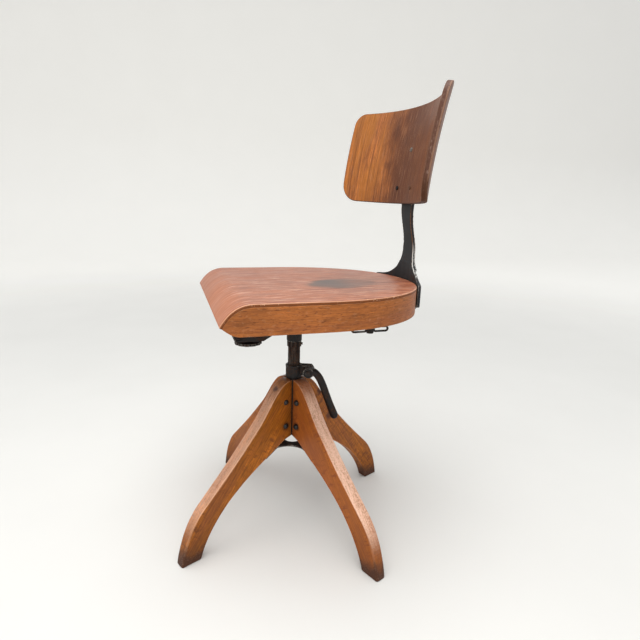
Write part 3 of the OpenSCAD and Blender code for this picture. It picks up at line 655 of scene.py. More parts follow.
def iron_group(name):
    """Old dark painted iron: black with brown bloom, rust specks and a cast surface."""
    inputs = {"Place": None, "Iron": "2C2C2F", "Rust": "593724", "Rusting": 0.4, "Rubbed": 0.0}
    tree, ins, outs = group_tree(name, inputs, ("Color", "Roughness", "Metallic", "Relief"))
    place = ins["Place"]
    bloom = place.cloud(38.0, 4, 0.65)
    speck = place.cloud(320.0, 3, 0.6)
    grit = place.cloud(900.0, 2, 0.6)
    level = 0.92 - ins["Rusting"] * 0.5
    rusty = (bloom * 0.75 + speck * 0.45).step(level - 0.2, level)
    deep = mix(speck.step(0.4, 0.68), "2A1C16", ins["Rust"])
    body = mix(rusty, ins["Iron"].brighter(bloom.step(0.3, 0.7, 0.75, 1.3)), deep)
    values = {
        "Color": body.tint(mix(grit, "8A857C", "B9B2A6"), ins["Rubbed"]),
        "Roughness": rusty.step(0.0, 1.0, 0.5, 0.82) - ins["Rubbed"] * 0.12,
        "Metallic": ins["Rubbed"] * 0.8,
        "Relief": speck * 0.6 + grit * 0.4,
    }
    feed_all(outs, values)
    return tree


# Materials


def new_material(name):
    """A material, its tree, and the inputs of its Principled shader."""
    material = bpy.data.materials.new(name)
    material.use_nodes = True
    tree = material.node_tree
    tree.nodes.clear()
    shader = put(tree, "BsdfPrincipled")
    tree.links.new(shader.outputs[0], put(tree, "OutputMaterial").inputs[0])
    return material, tree, shader.inputs


def once(build):
    """Makes a material the first time that its name is asked for."""

    def find(name, *looks, **more):
        return bpy.data.materials.get(name) or build(name, *looks, **more)

    return find


@once
def wood_material(name, wood, figure, wear_colour, extra=None, shine=0.42, specular=0.25):
    """Varnished wood. figure holds strengths, in the order of FIGURE."""
    material, tree, out = new_material(name)
    grain, wear, place = mark(tree, "grain", "Vector"), mark(tree, "wear"), place_of(tree)
    inputs = {"Grain": grain, "Wood": wood, **dict(zip(FIGURE, figure))}
    figured = use_group(tree, "Wood figure", grain_group, inputs)
    handling = {"Place": place, "Wear": wear, "Amount": finish().age, "Grain size": 55.0}
    handled = use_group(tree, "Handling", handling_group, handling)
    marks = ("5C3420", handled["Grime"] * 0.5), (wear_colour, handled["Rubbed"] * 0.75)
    colour = figured["Color"].tints(*marks)
    rough = figured["Gloss"] * 0.1 + shine + handled["Rubbed"] * 0.12
    if extra:
        colour, rough = extra(tree, colour, rough, place, grain)
    values = {
        "Base Color": colour,
        "Roughness": rough,
        "Specular IOR Level": specular,
        "Coat Weight": facing_up(tree, 0.0, 0.8, 0.04, 0.3),
        "Coat Roughness": 0.25,
        "Normal": figured["Relief"].bump(0.25, 0.0002),
    }
    feed_all(out, values)
    return material


def ellipse_mask(place, centre, reach, turn, inner, outer, ragged):
    """A soft oval in X and Y, with an uneven border."""
    inputs = {"Vector": place, "Location": (*centre, 0), "Rotation": (0, 0, turn)}
    flat = get(place.tree, "Mapping", {**inputs, "Scale": (*reach, 0)}, vector_type="TEXTURE")
    rough = (place.cloud(34.0, 3, 0.6) - 0.5) * ragged
    return (flat.vector("MULTIPLY", (1, 1, 0)).vector("LENGTH") + rough).step(outer, inner)


def facing_up(tree, low, high, start=0.0, end=1.0):
    """How far a surface faces up, as a soft step."""
    return get(tree, "NewGeometry", None, "True Normal").z.step(low, high, start, end)


def near_point(place, point, reach, ragged):
    """A soft round spot about a point, both in metres."""
    far = place.vector("DISTANCE", point) + place.cloud(190.0, 2, 0.6) * ragged
    return far.step(reach + ragged, reach * 0.35 + ragged * 0.5)


def leg_extra(tree, colour, rough, place, grain):
    """Redder or browner legs, a painted sheen on their upper faces, stains round the bolts,
    painted shade near the column, knots and dark feet.
    """
    # red is each leg's red tone and also the strength of its painted sheen.
    up, red = place.z, mark(tree, "red")
    lit = facing_up(tree, 0.3, 0.5)
    scratch = grain.streaks((26, 520, 520), 4, 0.65)
    spots = place.cloud(330.0, 4, 0.7)
    broad = grain.streaks((9, 60, 60), 2, 0.5, (4, 4, 4))
    # worn only breaks up the painted sheen on the upper faces.
    worn = (scratch * 0.5 + spots * 0.6 + broad * 0.35).step(0.5, 0.82, 0.25, 1.0)
    painted_sheen = lit * worn * up.step(0.303, 0.262, 0.2, 1.0) * up.step(0.03, 0.1, 0.3, 1.0)
    crack = scratch.step(0.4, 0.3) * lit * up.step(0.24, 0.29, 0.25, 0.8)
    out = place.vector("MULTIPLY", (1, 1, 0)).vector("LENGTH")
    from_bolt = {0: out - BOLT_OUT, 1: (up - BOLT_LOW).fold(BOLT_APART)}
    gap = get(tree, "CombineXYZ", from_bolt).vector("LENGTH") + spots * 0.006
    ring = gap.step(0.0145, 0.0085) * lit.step(0.5, 0.0) * 0.75
    above = up + (place.cloud(70.0, 3, 0.6) * 0.03 - mark(tree, "wear") * 0.012)
    scuffed = mix(spots.step(0.52, 0.66), "2A1A12", "6A5346")
    low = above.step(0.13, 0.035)
    colour = colour.tints(
        ("A05224", red * 0.45),
        # Painted sheen: a pale tint on the upper faces, stronger on the redder legs.
        ("EFC3A8", painted_sheen * red.step(0.0, 1.0, 0.45, 1.0)),
        ("55281A", crack),
        # Toward the column the legs darken too: painted shade under the seat. The rings round the
        # bolts are stains.
        ("43230F", ring.larger(out.step(0.034, 0.016, 0.0, 0.5))),
        *(("452010", near_point(place, knot, reach, 0.006) * 0.8) for knot, reach in LEG_KNOTS),
        (scuffed, above.step(0.052, 0.024) * 0.92),
        ("552C14", low * 0.4),
    )
    return colour, rough + low * 0.2


def seat_extra(tree, colour, rough, place, grain):
    """The grey water stain, redder streaks to the rear, the board's darker, chipped edge, and a
    painted highlight along that edge's top.
    """
    rim, wear = mark(tree, "rim"), mark(tree, "wear")
    top, side = rim.step(0.6, 0.2), rim.step(0.6, 0.95)
    back = place.y.step(-0.08, 0.17)
    streak = grain.streaks((9, 105, 60), 5, 0.68, (5, 1, 4), 0.5)
    dash = grain.streaks((21, 170, 100), 4, 0.68, (2, 7, 1), 0.3)
    stain = ellipse_mask(place, (0.040, 0.083), (0.06, 0.086), 0.3, 0.66, 1.0, 0.3)
    halo = ellipse_mask(place, (0.0, 0.12), (0.1, 0.1), 0.3, 0.5, 1.2, 0.6)
    stained = stain * back.step(0.55, 1.0, 1.0, 0.45) * 0.84 + halo * 0.16
    chips = place.cloud(210.0, 3, 0.7).step(0.6, 0.68) * wear.step(0.35, 0.7)
    across = place.x.step(0.12, -0.12, 0.0, 0.35)
    colour = colour.tints(
        ("74392A", streak.step(0.5, 0.62) * back.step(0.0, 1.0, 0.42, 0.8) * top),
        ("6E4034", dash.step(0.52, 0.62) * 0.36 * top),
        ("D9AE98", dash.step(0.48, 0.38) * 0.4 * top),
        ("B4673A", place.y.step(-0.11, -0.17, 0.0, 0.75) * top),
        ("85503E", across * streak.step(0.35, 0.6, 0.5, 1.0) * top),
        ("5D524D", stained * top),
        ("74401F", side * 0.9),
        # Painted highlight: a pale line along the board's rounded upper edge, apart from the
        # chips.
        ("DDAA8B", wear.step(0.5, 0.95) * side.step(0.9, 0.3) * 0.6),
        ("D9B091", chips * 0.85),
        *(("4B2A1C", near_point(place, spot, reach, 0.003) * 0.8) for spot, reach in SEAT_SPOTS),
    )
    return colour, rough + stained * 0.15


def side_extra(tree, colour, rough, place, grain):
    """Smoky marks, dark dashes and pale fibres along the side board."""
    smoke = grain.streaks((26, 75, 75), 4, 0.7, (1, 5, 3))
    dashes = grain.streaks((75, 420, 420), 3, 0.65, (3, 8, 2), 0.5)
    fibres = grain.streaks((90, 190, 190), 3, 0.6, (7, 1, 2))
    colour = colour.tints(
        ("693A18", smoke.step(0.52, 0.7, 0.0, 0.55)),
        ("5A2C12", dashes.step(0.57, 0.68, 0.0, 0.7)),
        ("BA825A", fibres.step(0.54, 0.7, 0.0, 0.35)),
    )
    return colour, rough


def panel_extra(tree, colour, rough, place, grain):
    """Golden wood to one side and darker, redder wood toward +X, partly the wood's colour and
    partly painted shade, and the plies round the panel's edge.
    """
    across = place.x
    golden = grain.streaks((9, 26, 26), 2, 0.5, (8, 3, 1)).step(0.4, 0.6)
    drift = across + (place.streaks((16, 16, 9), 4, 0.6) - 0.5) * 0.22
    # Partly the wood's own colour, partly painted shade where the hollow panel turns from the
    # light.
    ruddy_and_shade = mix(across.step(0.0, 0.09), "512712", "683A21")
    bands = grain.streaks((4, 190, 190), 4, 0.62, (2, 6, 1))
    fibre = grain.streaks((26, 760, 760), 4, 0.65, (6, 2, 5))
    ply = get(tree, "Math", {0: grain.z * PLY_WAVES}, operation="SINE")
    torn = place.streaks((300, 300, 120), 4, 0.7)
    plies = mix(ply.step(-0.2, 0.6), "82604C", "573729").tints(
        ("A08474", torn.step(0.54, 0.7, 0.0, 0.6)),
        ("3E2416", torn.step(0.42, 0.34)),
        ("4A2A16", grain.x.step(0.05, 0.02, 0.0, 0.8)),
    )
    rim = mark(tree, "rim").step(0.5, 0.9)
    colour = colour.tints(
        ("B26D26", golden * across.step(-0.06, -0.13) * 0.5),
        (ruddy_and_shade, drift.step(-0.135, -0.03, 0.0, 0.9)),
        ("4E2914", bands.step(0.46, 0.66, 0.0, 0.4)),
        ("B98460", fibre.step(0.52, 0.66, 0.0, 0.45)),
        ("4A2411", fibre.step(0.44, 0.32, 0.0, 0.5)),
        (plies, rim * 0.92),
    )
    return colour, rough + rim * 0.2


def beech():
    figure = (0.8, 0.2, 0.7, 0.9, 0.8, 0.9)
    return wood_material("Varnished beech", finish().beech, figure, "D59A70", leg_extra)


def beech_side():
    figure = (0.5, 0.05, 0.7, 0.5, 0.55, 0.1)
    return wood_material("Beech side board", "9E5B28", figure, "B07C52", side_extra)


def raw_beech():
    return wood_material("Plain beech", "A97C4E", (0.5, 0.7, 0.8, 0.6, 0.3), "B98B5C", shine=0.6)


def seat_veneer():
    looks = finish().seat_veneer, (0.75, 0.1, 0.5, 0.4, 0.5), "C98F6B", seat_extra
    return wood_material("Seat veneer", *looks, shine=0.4, specular=0.1)


def back_veneer():
    looks = finish().back_veneer, (1.0, 0.2, 0.6, 0.7, 0.8), "A87B5E", panel_extra
    return wood_material("Back veneer", *looks, shine=0.4)


@once
def iron_material(name, iron, rusting, rub, worn=True, relief=0.35, gloss=0.0, extra=None):
    """Old iron with its rust and rubbed edges. worn says that the mesh holds wear marks."""
    material, tree, out = new_material(name)
    place, wear = place_of(tree), mark(tree, "wear") if worn else PLAIN_WEAR
    handling = {"Place": place, "Wear": wear, "Amount": finish().age, "Grain size": 90.0}
    rubbed = use_group(tree, "Handling", handling_group, handling)["Rubbed"] * rub
    inputs = {"Place": place, "Iron": iron, "Rust": finish().rust, "Rusting": rusting}
    look = use_group(tree, "Old iron", iron_group, {**inputs, "Rubbed": rubbed})
    values = {
        "Base Color": extra(tree, look["Color"], place, wear) if extra else look["Color"],
        "Roughness": look["Roughness"],
        "Metallic": look["Metallic"],
        "Normal": look["Relief"].bump(relief, 0.0003),
        "Specular IOR Level": 0.22,
        "Coat Weight": gloss,
        "Coat Roughness": 0.1,
    }
    feed_all(out, values)
    return material


def dark_iron():
    return iron_material("Dark iron", finish().iron, 0.35, 0.8)


def stem_extra(tree, colour, place, wear):
    """A brown line up the stem's edges, and a painted highlight on a worn edge in front just
    above the seat.
    """
    up, facing = place.z, get(tree, "NewGeometry", None, "Normal")
    line = (wear + place.cloud(160.0, 3, 0.6) * 0.5).step(0.42, 0.58)
    brown = up.step(0.53, 0.57) * up.step(0.66, 0.62)
    # The pale line in front is a painted highlight on a worn edge, placed by height and by the
    # way the surface faces.
    highlight_band = up.step(0.506, 0.512) * up.step(0.58, 0.55)
    front = facing.x.step(0.35, 0.6) * facing.y.step(0.35, 0.15)
    edge = (wear + place.cloud(240.0, 3, 0.6) * 0.4).step(0.3, 0.42)
    return colour.tints(("6B4A35", line * brown * 0.7), ("C9C5BE", highlight_band * edge * front * 0.9))


def stem_iron():
    return iron_material("Stem iron", "1F2124", 0.22, 0.7, extra=stem_extra)


def post_extra(tree, colour, place, wear):
    """Pale and dark streaks down the post."""
    streak = place.streaks((150, 150, 16), 4, 0.65)
    pale, dark = streak.step(0.5, 0.6, 0.0, 0.6), streak.step(0.5, 0.42, 0.0, 0.85)
    return colour.tints(("504841", pale), ("120C0B", dark))


def post_iron():
    return iron_material("Rusty post", "1C1613", 0.7, 0.3, worn=False, extra=post_extra)


def dark_iron_plain():
    return iron_material("Dark screw", "2A2624", 0.5, 0.5, worn=False)


def bolt_black():
    return iron_material("Black bolts", "151213", 0.2, 0.4, worn=False, relief=0.1, gloss=0.35)


def screw_extra(tree, colour, place, wear):
    """Pale on the upper screw, dark and rusty on the lower ones."""
    low = mix(place.x.step(-0.004, 0.004), "0E0B0A", "62402C")
    return low.tint("6F675F", place.z.step(0.705, 0.715))


def panel_screw_steel():
    return iron_material("Panel screws", "2A2624", 0.4, 0.3, worn=False, extra=screw_extra)


@once
def steel_material(name):
    """Bare steel gone dull, with brown specks."""
    material, tree, out = new_material(name)
    inputs = {"Place": place_of(tree), "Iron": finish().steel, "Rust": finish().rust}
    look = use_group(tree, "Old iron", iron_group, {**inputs, "Rusting": 0.55, "Rubbed": 0.15})
    normal = look["Relief"].bump(0.2, 0.0002)
    values = {"Base Color": look["Color"], "Roughness": look["Roughness"], "Metallic": 0.75}
    feed_all(out, {**values, "Normal": normal})
    return material


def dull_steel():
    return steel_material("Dull steel")


# The legs


def leg_edge(parts, index):
    """A point of a leg's outer or inner edge, counted in the rings of the plain model."""
    for steps, curve in parts:
        if index <= steps:
            return bezier(curve, index / steps)
        index -= steps
    return curve[-1]


def arc(centre, radius, first, last, steps):
    """Points of an arc, with how much each stands out as an edge."""
    out = []
    for i in range(steps + 1):
        a = math.radians(first + (last - first) * i / steps)
        edge = 0.55 + 0.45 * math.sin(math.pi * i / steps)
        out.append((centre[0] + radius * math.cos(a), centre[1] + radius * math.sin(a), edge))
    return out


def leg_section(length, half, chamfer, pinch):
    """Outline of a leg across its length: depth from the inner edge, side and edge mark."""
    h, e, far = half - pinch, LEG_EASE, length - pinch
    inner, outer = pinch + e, far - chamfer
    return (
        arc((inner, -h + e), e, 180, 270, 3)
        + [(inner + 3, -h, 0.05), ((inner + outer) / 2, -h, 0.0), (outer - 3, -h, 0.05)]
        + arc((outer, -h + chamfer), chamfer, 270, 360, 5)
        + [(far + 0.2, -h * 0.4, 0.1), (far + 0.25, 0, 0.1), (far + 0.2, h * 0.4, 0.1)]
        + arc((outer, h - chamfer), chamfer, 0, 90, 5)
        + [(outer - 3, h, 0.05), ((inner + outer) / 2, h, 0.0), (inner + 3, h, 0.05)]
        + arc((inner, h - e), e, 90, 180, 3)
        + [(pinch, 0, 0.1)]
    )


def leg_rings():
    """Outer point, inner point, half thickness, chamfer and pinch of each ring down a leg."""
    rings = []
    for index in spaced(0, LEG_LAST, 0.5):
        half = (LEG_T + (LEG_FOOT_T - LEG_T) * max(0, index - LEG_THIN_FROM) / LEG_THIN_RUN) / 2
        chamfer = LEG_CHAMFER * min(1, (index + 1) / 5) + max(0, index - LEG_FOOT_FROM) * 0.2
        rings.append((leg_edge(LEG_OUTER, index), leg_edge(LEG_INNER, index), half, chamfer, 0.0))
    p, q, half, chamfer, _ = rings[0]
    start = [
        ((p[0] + out, p[1]), (q[0] + out, q[1]), half - thin, chamfer, pinch)
        for out, thin, pinch in ((0.8, 2.0, 1.1), (1.6, 0.9, 0.35))
    ]
    rings[0] = ((p[0] + 3.2, p[1]), (q[0] + 3.2, q[1]), half, chamfer, 0.0)
    p, q, half, chamfer, _ = rings[-1]
    foot = []
    for low, back in corner(1, (25, 50, 72, 90)):
        outer, inner = (p[0] - back, p[1] * low), (q[0] + 8 * back, q[1] * low)
        foot.append((outer, inner, half - 1.3 * back, chamfer, 0.5 * back))
    return start + rings + foot


def leg_mesh(name, turn, number, red):
    """A leg turned about the column, with its own share of the red tone, which also sets the
    strength of its painted sheen.
    """
    a = math.radians(turn)
    along, side = (math.cos(a), math.sin(a)), (-math.sin(a), math.cos(a))
    points, grain, wear = [], [], []
    rings = leg_rings()
    for n, (p, q, half, chamfer, pinch) in enumerate(rings):
        length = math.dist(p, q)
        k = ((p[0] - q[0]) / length, (p[1] - q[1]) / length)
        wobble = 1 + 0.2 * noise.noise(Vector((n * 0.31, number * 3.1, 0)))
        for d, s, edge in leg_section(length, half, chamfer * wobble, pinch):
            r, z = q[0] + k[0] * d, q[1] + k[1] * d
            points.append((r * along[0] + s * side[0], r * along[1] + s * side[1], z))
            along_grain = (r * GRAIN_OUT - z * GRAIN_DOWN, r * GRAIN_DOWN + z * GRAIN_OUT, s)
            grain.append([c * MM + number * shift for c, shift in zip(along_grain, GRAIN_SHIFT)])
            wear.append(max(edge, 0.9 if z < 1 else 0))
    marks = {"grain": grain, "wear": wear, "red": [red] * len(points)}
    return make_object(name, points, tube_faces(len(rings), len(points) // len(rings)), marks)


class CHAIR_OT_legs(bpy.types.Operator):
    """Builds the four wooden legs with their eased edges"""

    bl_idname = "chair.legs"
    bl_label = "Legs"

    def execute(self, context):
        for number, (node, turn) in enumerate(LEG_TURNS.items()):
            leg = leg_mesh(node + "_wood", turn, number, LEG_RED_AND_SHEEN[node])
            stand_for(leg, beech(), "beech", "base", node)
        return {"FINISHED"}


# The seat

ROLL = (
    (-SEAT_FRONT + ROLL_RUN, SEAT_H),
    (-SEAT_FRONT + ROLL_RUN * 0.53, SEAT_H),
    (-SEAT_FRONT + ROLL_RUN * 0.23, SEAT_H - ROLL_DROP * 0.38),
    (-SEAT_FRONT, SEAT_H - ROLL_DROP),
)
ROLL_STEPS = 60


def running_lengths(points):
    """Length along a line of points, up to each of them."""
    lengths = [0.0]
    for a, b in zip(points, points[1:]):
        lengths.append(lengths[-1] + math.dist(a, b))
    return lengths


ROLL_LENGTHS = running_lengths([bezier(ROLL, i / ROLL_STEPS) for i in range(ROLL_STEPS + 1)])
ROLL_START = -SEAT_FRONT + ROLL_RUN


def roll_point(t, depth):
    """Y and Z at a share of the front roll and a depth below its top."""
    y, z = bezier(ROLL, t)
    dy, dz = bezier_slope(ROLL, t)
    return y - depth * dz, z + depth * dy


def rolled(s, depth):
    """Y and Z of the seat board at a place s along it and a depth below its top."""
    if s >= ROLL_START:
        return s, SEAT_H - depth
    t = float(np.interp(ROLL_START - s, ROLL_LENGTHS, np.linspace(0, 1, ROLL_STEPS + 1)))
    return roll_point(t, depth)


def rear_half(f, inset):
    """Half width and place of the rounded rear at an angle f in degrees."""
    e = 2 / REAR_ROUND
    f = math.radians(f)
    return (SEAT_HALF - inset) * math.cos(f) ** e, (SEAT_REAR - inset) * math.sin(f) ** e


@cache
def seat_rows(inset):
    """Half width and place along the board of each row, from the nose to the rear."""
    nose = ROLL_START - ROLL_LENGTHS[-1] + inset
    rows = [(SEAT_HALF - inset, nose + d) for d in (0, 1.2, 3)]
    rows += [(SEAT_HALF - inset, s) for s in spaced(nose + 6, ROLL_START, 4)]
    rows += [(SEAT_HALF - inset, s) for s in spaced(ROLL_START, 0, 13)[1:-1]]
    rows += [rear_half(f, inset) for f in spaced(0, 72, 4.5)]
    rows += [rear_half(f, inset) for f in (75, 78, 80.5, 83, 85, 86.5, REAR_END)]
    return rows


def seat_mesh(name):
    """The seat board, with its grain from front to rear."""

    def point_at(x, s, depth):
        return (x, *rolled(s, depth))

    edge = bpy.context.scene.chair_build.edge_round / MM
    layers = edge_layers(edge, 0.8, BOARD_T)
    points, faces, grain, layer, far = board(seat_rows, SEAT_COLS, layers, point_at)
    faces_at, rings = (0, len(layers) - 1), len(EDGE_ANGLES)
    rim = [
        0.0 if n in faces_at and d > edge + 0.3 else min(1.0, n / (rings - 1))
        for n, d in zip(layer, far)
    ]
    wear = np.exp(-far / 2.6) * [1.0 if n < rings else 0.4 for n in layer]
    return make_object(name, points, faces, {"grain": grain, "wear": wear, "rim": rim})


def under_roll():
    """The roll's underside and the line from its nose to the side board's lower edge."""
    top = [roll_point(i / ROLL_STEPS, BOARD_T + SEAT_GAP) for i in range(ROLL_STEPS + 1)]
    nose, low = top[-1], SEAT_H - APRON_H
    curve = (nose, (nose[0] + 8, nose[1] - 6), (nose[0] + 16, low), (nose[0] + 28, low))
    steps = 24
    return top[::-1], [bezier(curve, i / steps) for i in range(steps + 1)]


UNDER_TOP, UNDER_LOW = under_roll()


@cache
def side_path(inset):
    """Places along the side board, from one front tip round the rear to the other."""
    half = SEAT_HALF - inset
    tip = UNDER_LOW[0][0] + 0.8
    near = [tip + d for d in (0, 1.5, 3.5, 6, 9, 13, 17, 21, 25, 29, 34, 40, 46)]
    straight = [(half, y) for y in near + spaced(near[-1] + 6, 0, 12)[:-1]]
    round_part = [rear_half(f, inset) for f in spaced(0, 90, 3.6)]
    right = straight + round_part
    return right + [(-x, y) for x, y in reversed(right[:-1])]


def side_heights(y):
    """Lower and upper edge of the side board at a place along the seat."""
    low = np.interp(y, [p[0] for p in UNDER_LOW], [p[1] for p in UNDER_LOW])
    top = np.interp(y, [p[0] for p in UNDER_TOP], [p[1] for p in UNDER_TOP])
    if y > UNDER_LOW[-1][0]:
        low = SEAT_H - APRON_H
    if y > UNDER_TOP[-1][0]:
        top = SEAT_H - BOARD_T - SEAT_GAP
    return float(low), float(top)


def side_mesh(name):
    """The board under the seat's edge, open in front, with its grain along it."""
    shares = (0, 0.03, 0.1, 0.25, 0.5, 0.75, 0.9, 0.97, 1)
    run = running_lengths(side_path(0))
    flat, grain = [], []

    def place(j, i, inset, depth):
        x, y = side_path(depth)[j]
        low, high = side_heights(y)
        gap = min(inset, (high - low) * 0.2)
        z = low + gap + (high - low - 2 * gap) * shares[i]
        flat.append(min(z - low if i < len(shares) / 2 else high - z, 30))
        grain.append((run[j] * MM, z * MM, depth * MM))
        return (x, y, z)

    layers = edge_layers(1.2, 1.2, APRON_T)
    points, faces, layer = slab(place, layers, len(side_path(0)), len(shares))
    wear = np.exp(-np.array(flat) / 1.6) * [0.75 if n < len(EDGE_ANGLES) else 0.3 for n in layer]
    return make_object(name, points, faces, {"grain": grain, "wear": wear})


def rail_copy(node):
    """A rail with eased edges, its grain along X."""
    obj = cast_copy(node + "_wood", node, RAIL_STEP, rounds=3, keep=0.25)
    write_mark(obj.data, "grain", [v.co[:] for v in obj.data.vertices])
    return obj


class CHAIR_OT_seat_board(bpy.types.Operator):
    """Builds the bent seat board with its rolled front edge"""

    bl_idname = "chair.seat_board"
    bl_label = "Seat board"

    def execute(self, context):
        board = seat_mesh("seat_board_veneer")
        stand_for(board, seat_veneer(), "seat_veneer", "seat", "seat_board")
        return {"FINISHED"}


class CHAIR_OT_side_board(bpy.types.Operator):
    """Builds the bent board round the sides and rear of the seat"""

    bl_idname = "chair.side_board"
    bl_label = "Side board"

    def execute(self, context):
        stand_for(side_mesh("side_board_wood"), beech_side(), "beech", "seat", "side_board")
        return {"FINISHED"}


class CHAIR_OT_rails(bpy.types.Operator):
    """Builds the front block and the two cross rails under the seat"""

    bl_idname = "chair.rails"
    bl_label = "Rails"

    def execute(self, context):
        for node in ("front_rail", "front_cross_rail", "rear_cross_rail"):
            stand_for(rail_copy(node), raw_beech(), "beech", "seat", node)
        return {"FINISHED"}


# The back panel


def panel_point(s, t, d):
    """A point at s along the panel's curve, t up its face and d behind its front."""
    a = s / PANEL_R
    r = PANEL_R + d
    deep = d - (1 - math.cos(a)) * r + PANEL_SWEEP * (t / PANEL_H) ** 2
    return (
        r * math.sin(a),
        PANEL_Y + deep * math.cos(PANEL_LEAN) + t * math.sin(PANEL_LEAN),
        PANEL_Z - deep * math.sin(PANEL_LEAN) + t * math.cos(PANEL_LEAN),
    )


@cache
def panel_rows(inset):
    """Half width and height of each row of the panel."""
    half = PANEL_HALF - inset
    lower = [(half - side, inset + up) for side, up in corner(PANEL_LOW_R - inset, PANEL_ANGLES)]
    middle = [(half, t) for t in spaced(PANEL_LOW_R, PANEL_H - PANEL_TOP_R, 10)[1:-1]]
    high = corner(PANEL_TOP_R - inset, PANEL_ANGLES[::-1])
    return lower + middle + [(half - side, PANEL_H - inset - down) for side, down in high]


def panel_mesh(name):
    """The back panel, with its grain running up it."""
    layers = edge_layers(1.6, 1.6, PANEL_T)
    points, faces, grain, layer, far = board(panel_rows, PANEL_COLS, layers, panel_point)
    wear = np.exp(-far / 2.2)
    faces_at = (0, len(layers) - 1)
    rim = [1.0 if n not in faces_at else 0.0 if d > 1.9 else 0.4 for n, d in zip(layer, far)]
    return make_object(name, points, faces, {"grain": grain, "wear": wear, "rim": rim})


class CHAIR_OT_back_panel(bpy.types.Operator):
    """Builds the hollow back panel of bent plywood"""

    bl_idname = "chair.back_panel"
    bl_label = "Back panel"

    def execute(self, context):
        panel = panel_mesh("back_panel_veneer")
        stand_for(panel, back_veneer(), "back_veneer", "back", "back_panel")
        return {"FINISHED"}


# Iron and steel


class CHAIR_OT_back_stem(bpy.types.Operator):
    """Gives the iron stem and saddle the soft edges of a forging"""

    bl_idname = "chair.back_stem"
    bl_label = "Back stem"

    def execute(self, context):
        step = context.scene.chair_build.cast_step
        stem = cast_copy("back_stem_iron", "back_stem", step, rounds=4, keep=0.4)
        top = SEAT_H * MM
        for v in stem.data.vertices:
            if top < v.co.z < top + WING_H:
                out = (abs(v.co.x) - WING_TAPER) / (WING_TIP - WING_TAPER)
                v.co.z = top + (v.co.z - top) * (1 - WING_THIN * min(1, max(0, out)))
        stand_for(stem, stem_iron(), "dark_iron", "back", "back_stem")
        return {"FINISHED"}


class CHAIR_OT_castings(bpy.types.Operator):
    """Gives the hub, the cross, the bracket and the rocker the soft edges of castings"""

    bl_idname = "chair.castings"
    bl_label = "Castings"

    def execute(self, context):
        step = context.scene.chair_build.cast_step
        for node, body, wide, rounds, keep in (
            ("column_hub", "base", 1.0, 3, 0.3),
            ("iron_cross", "base", 1.1, 3, 0.35),
            ("seat_bracket", "seat", 1.4, 3, 0.35),
            ("rocker_frame", "rocker", 1.4, 3, 0.35),
            ("back_tongue", "back", 1.6, 3, 0.3),
            ("hand_wheel", "wheel", 0.7, 3, 0.5),
            ("clamp_lever", "lever", 0.8, 4, 0.5),
            ("spring_cup", "seat", 0.7, 3, 0.5),
            ("lock_screw", "lock", 0.7, 3, 0.5),
        ):
            piece = cast_copy(node + "_iron", node, step * wide, rounds, keep)
            stand_for(piece, dark_iron(), "dark_iron", body, node)
        return {"FINISHED"}


class CHAIR_OT_tilt_spring(bpy.types.Operator):
    """Winds the tilt spring as one smooth wire"""

    bl_idname = "chair.tilt_spring"
    bl_label = "Tilt spring"

    def execute(self, context):
        low, high = (point.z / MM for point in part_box("tilt_spring"))
        radius, half_wire = (SPRING_D - WIRE_D) / 2, WIRE_D / 2
        pitch = WIRE_D * 1.12
        first, last = low + half_wire, high - half_wire
        points = []
        rings = SPRING_TURNS * WIRE_STEPS + 1
        for i in range(rings):
            n = i / WIRE_STEPS
            if n < 1:
                z = first + n * pitch
            elif n > SPRING_TURNS - 1:
                z = last - (SPRING_TURNS - n) * pitch
            else:
                z = first + pitch + (n - 1) / (SPRING_TURNS - 2) * (last - first - 2 * pitch)
            a = math.tau * n
            for j in range(WIRE_SIDES):
                b = math.tau * j / WIRE_SIDES
                out, up = radius + half_wire * math.cos(b), half_wire * math.sin(b)
                points.append((out * math.cos(a), ROD_Y + out * math.sin(a), z + up))
        faces = tube_faces(rings, WIRE_SIDES)
        wear = [0.1] * len(points)
        spring = make_object("tilt_spring_wire", points, faces, {"wear": wear}, sharp=50)
        stand_for(spring, dull_steel(), "dull_steel", "seat", "tilt_spring")
        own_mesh(spring)
        return {"FINISHED"}


class CHAIR_OT_post(bpy.types.Operator):
    """Gives the post and its stop ring their rusty surface"""

    bl_idname = "chair.post"
    bl_label = "Post"

    def execute(self, context):
        for node in ("post", "stop_ring"):
            paint(node, post_iron())
        return {"FINISHED"}


DULL_FASTENERS = (
    *("cross_screws", "stop_screw", "thrust_ball", "socket_screw", "bracket_screws"),
    *("spring_rod", "tilt_pin", "pin_rings", "tongue_rivets"),
)


class CHAIR_OT_fasteners(bpy.types.Operator):
    """Gives the bolts, screws, pins and rivets their surfaces"""

    bl_idname = "chair.fasteners"
    bl_label = "Fasteners"

    def execute(self, context):
        for node in ("leg_bolts", "leg_cap_nuts"):
            paint(node, bolt_black())
        paint("clamp_screw", dark_iron_plain())
        for node in DULL_FASTENERS:
            paint(node, dull_steel())
        paint("panel_screws", panel_screw_steel())
        return {"FINISHED"}


def paint(node, material):
    """Puts a material on a CAD node that keeps its shape."""
    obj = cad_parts[node]
    if not obj.material_slots:
        obj.data.materials.append(material)
    for place in obj.material_slots:
        place.material = material


# The stage


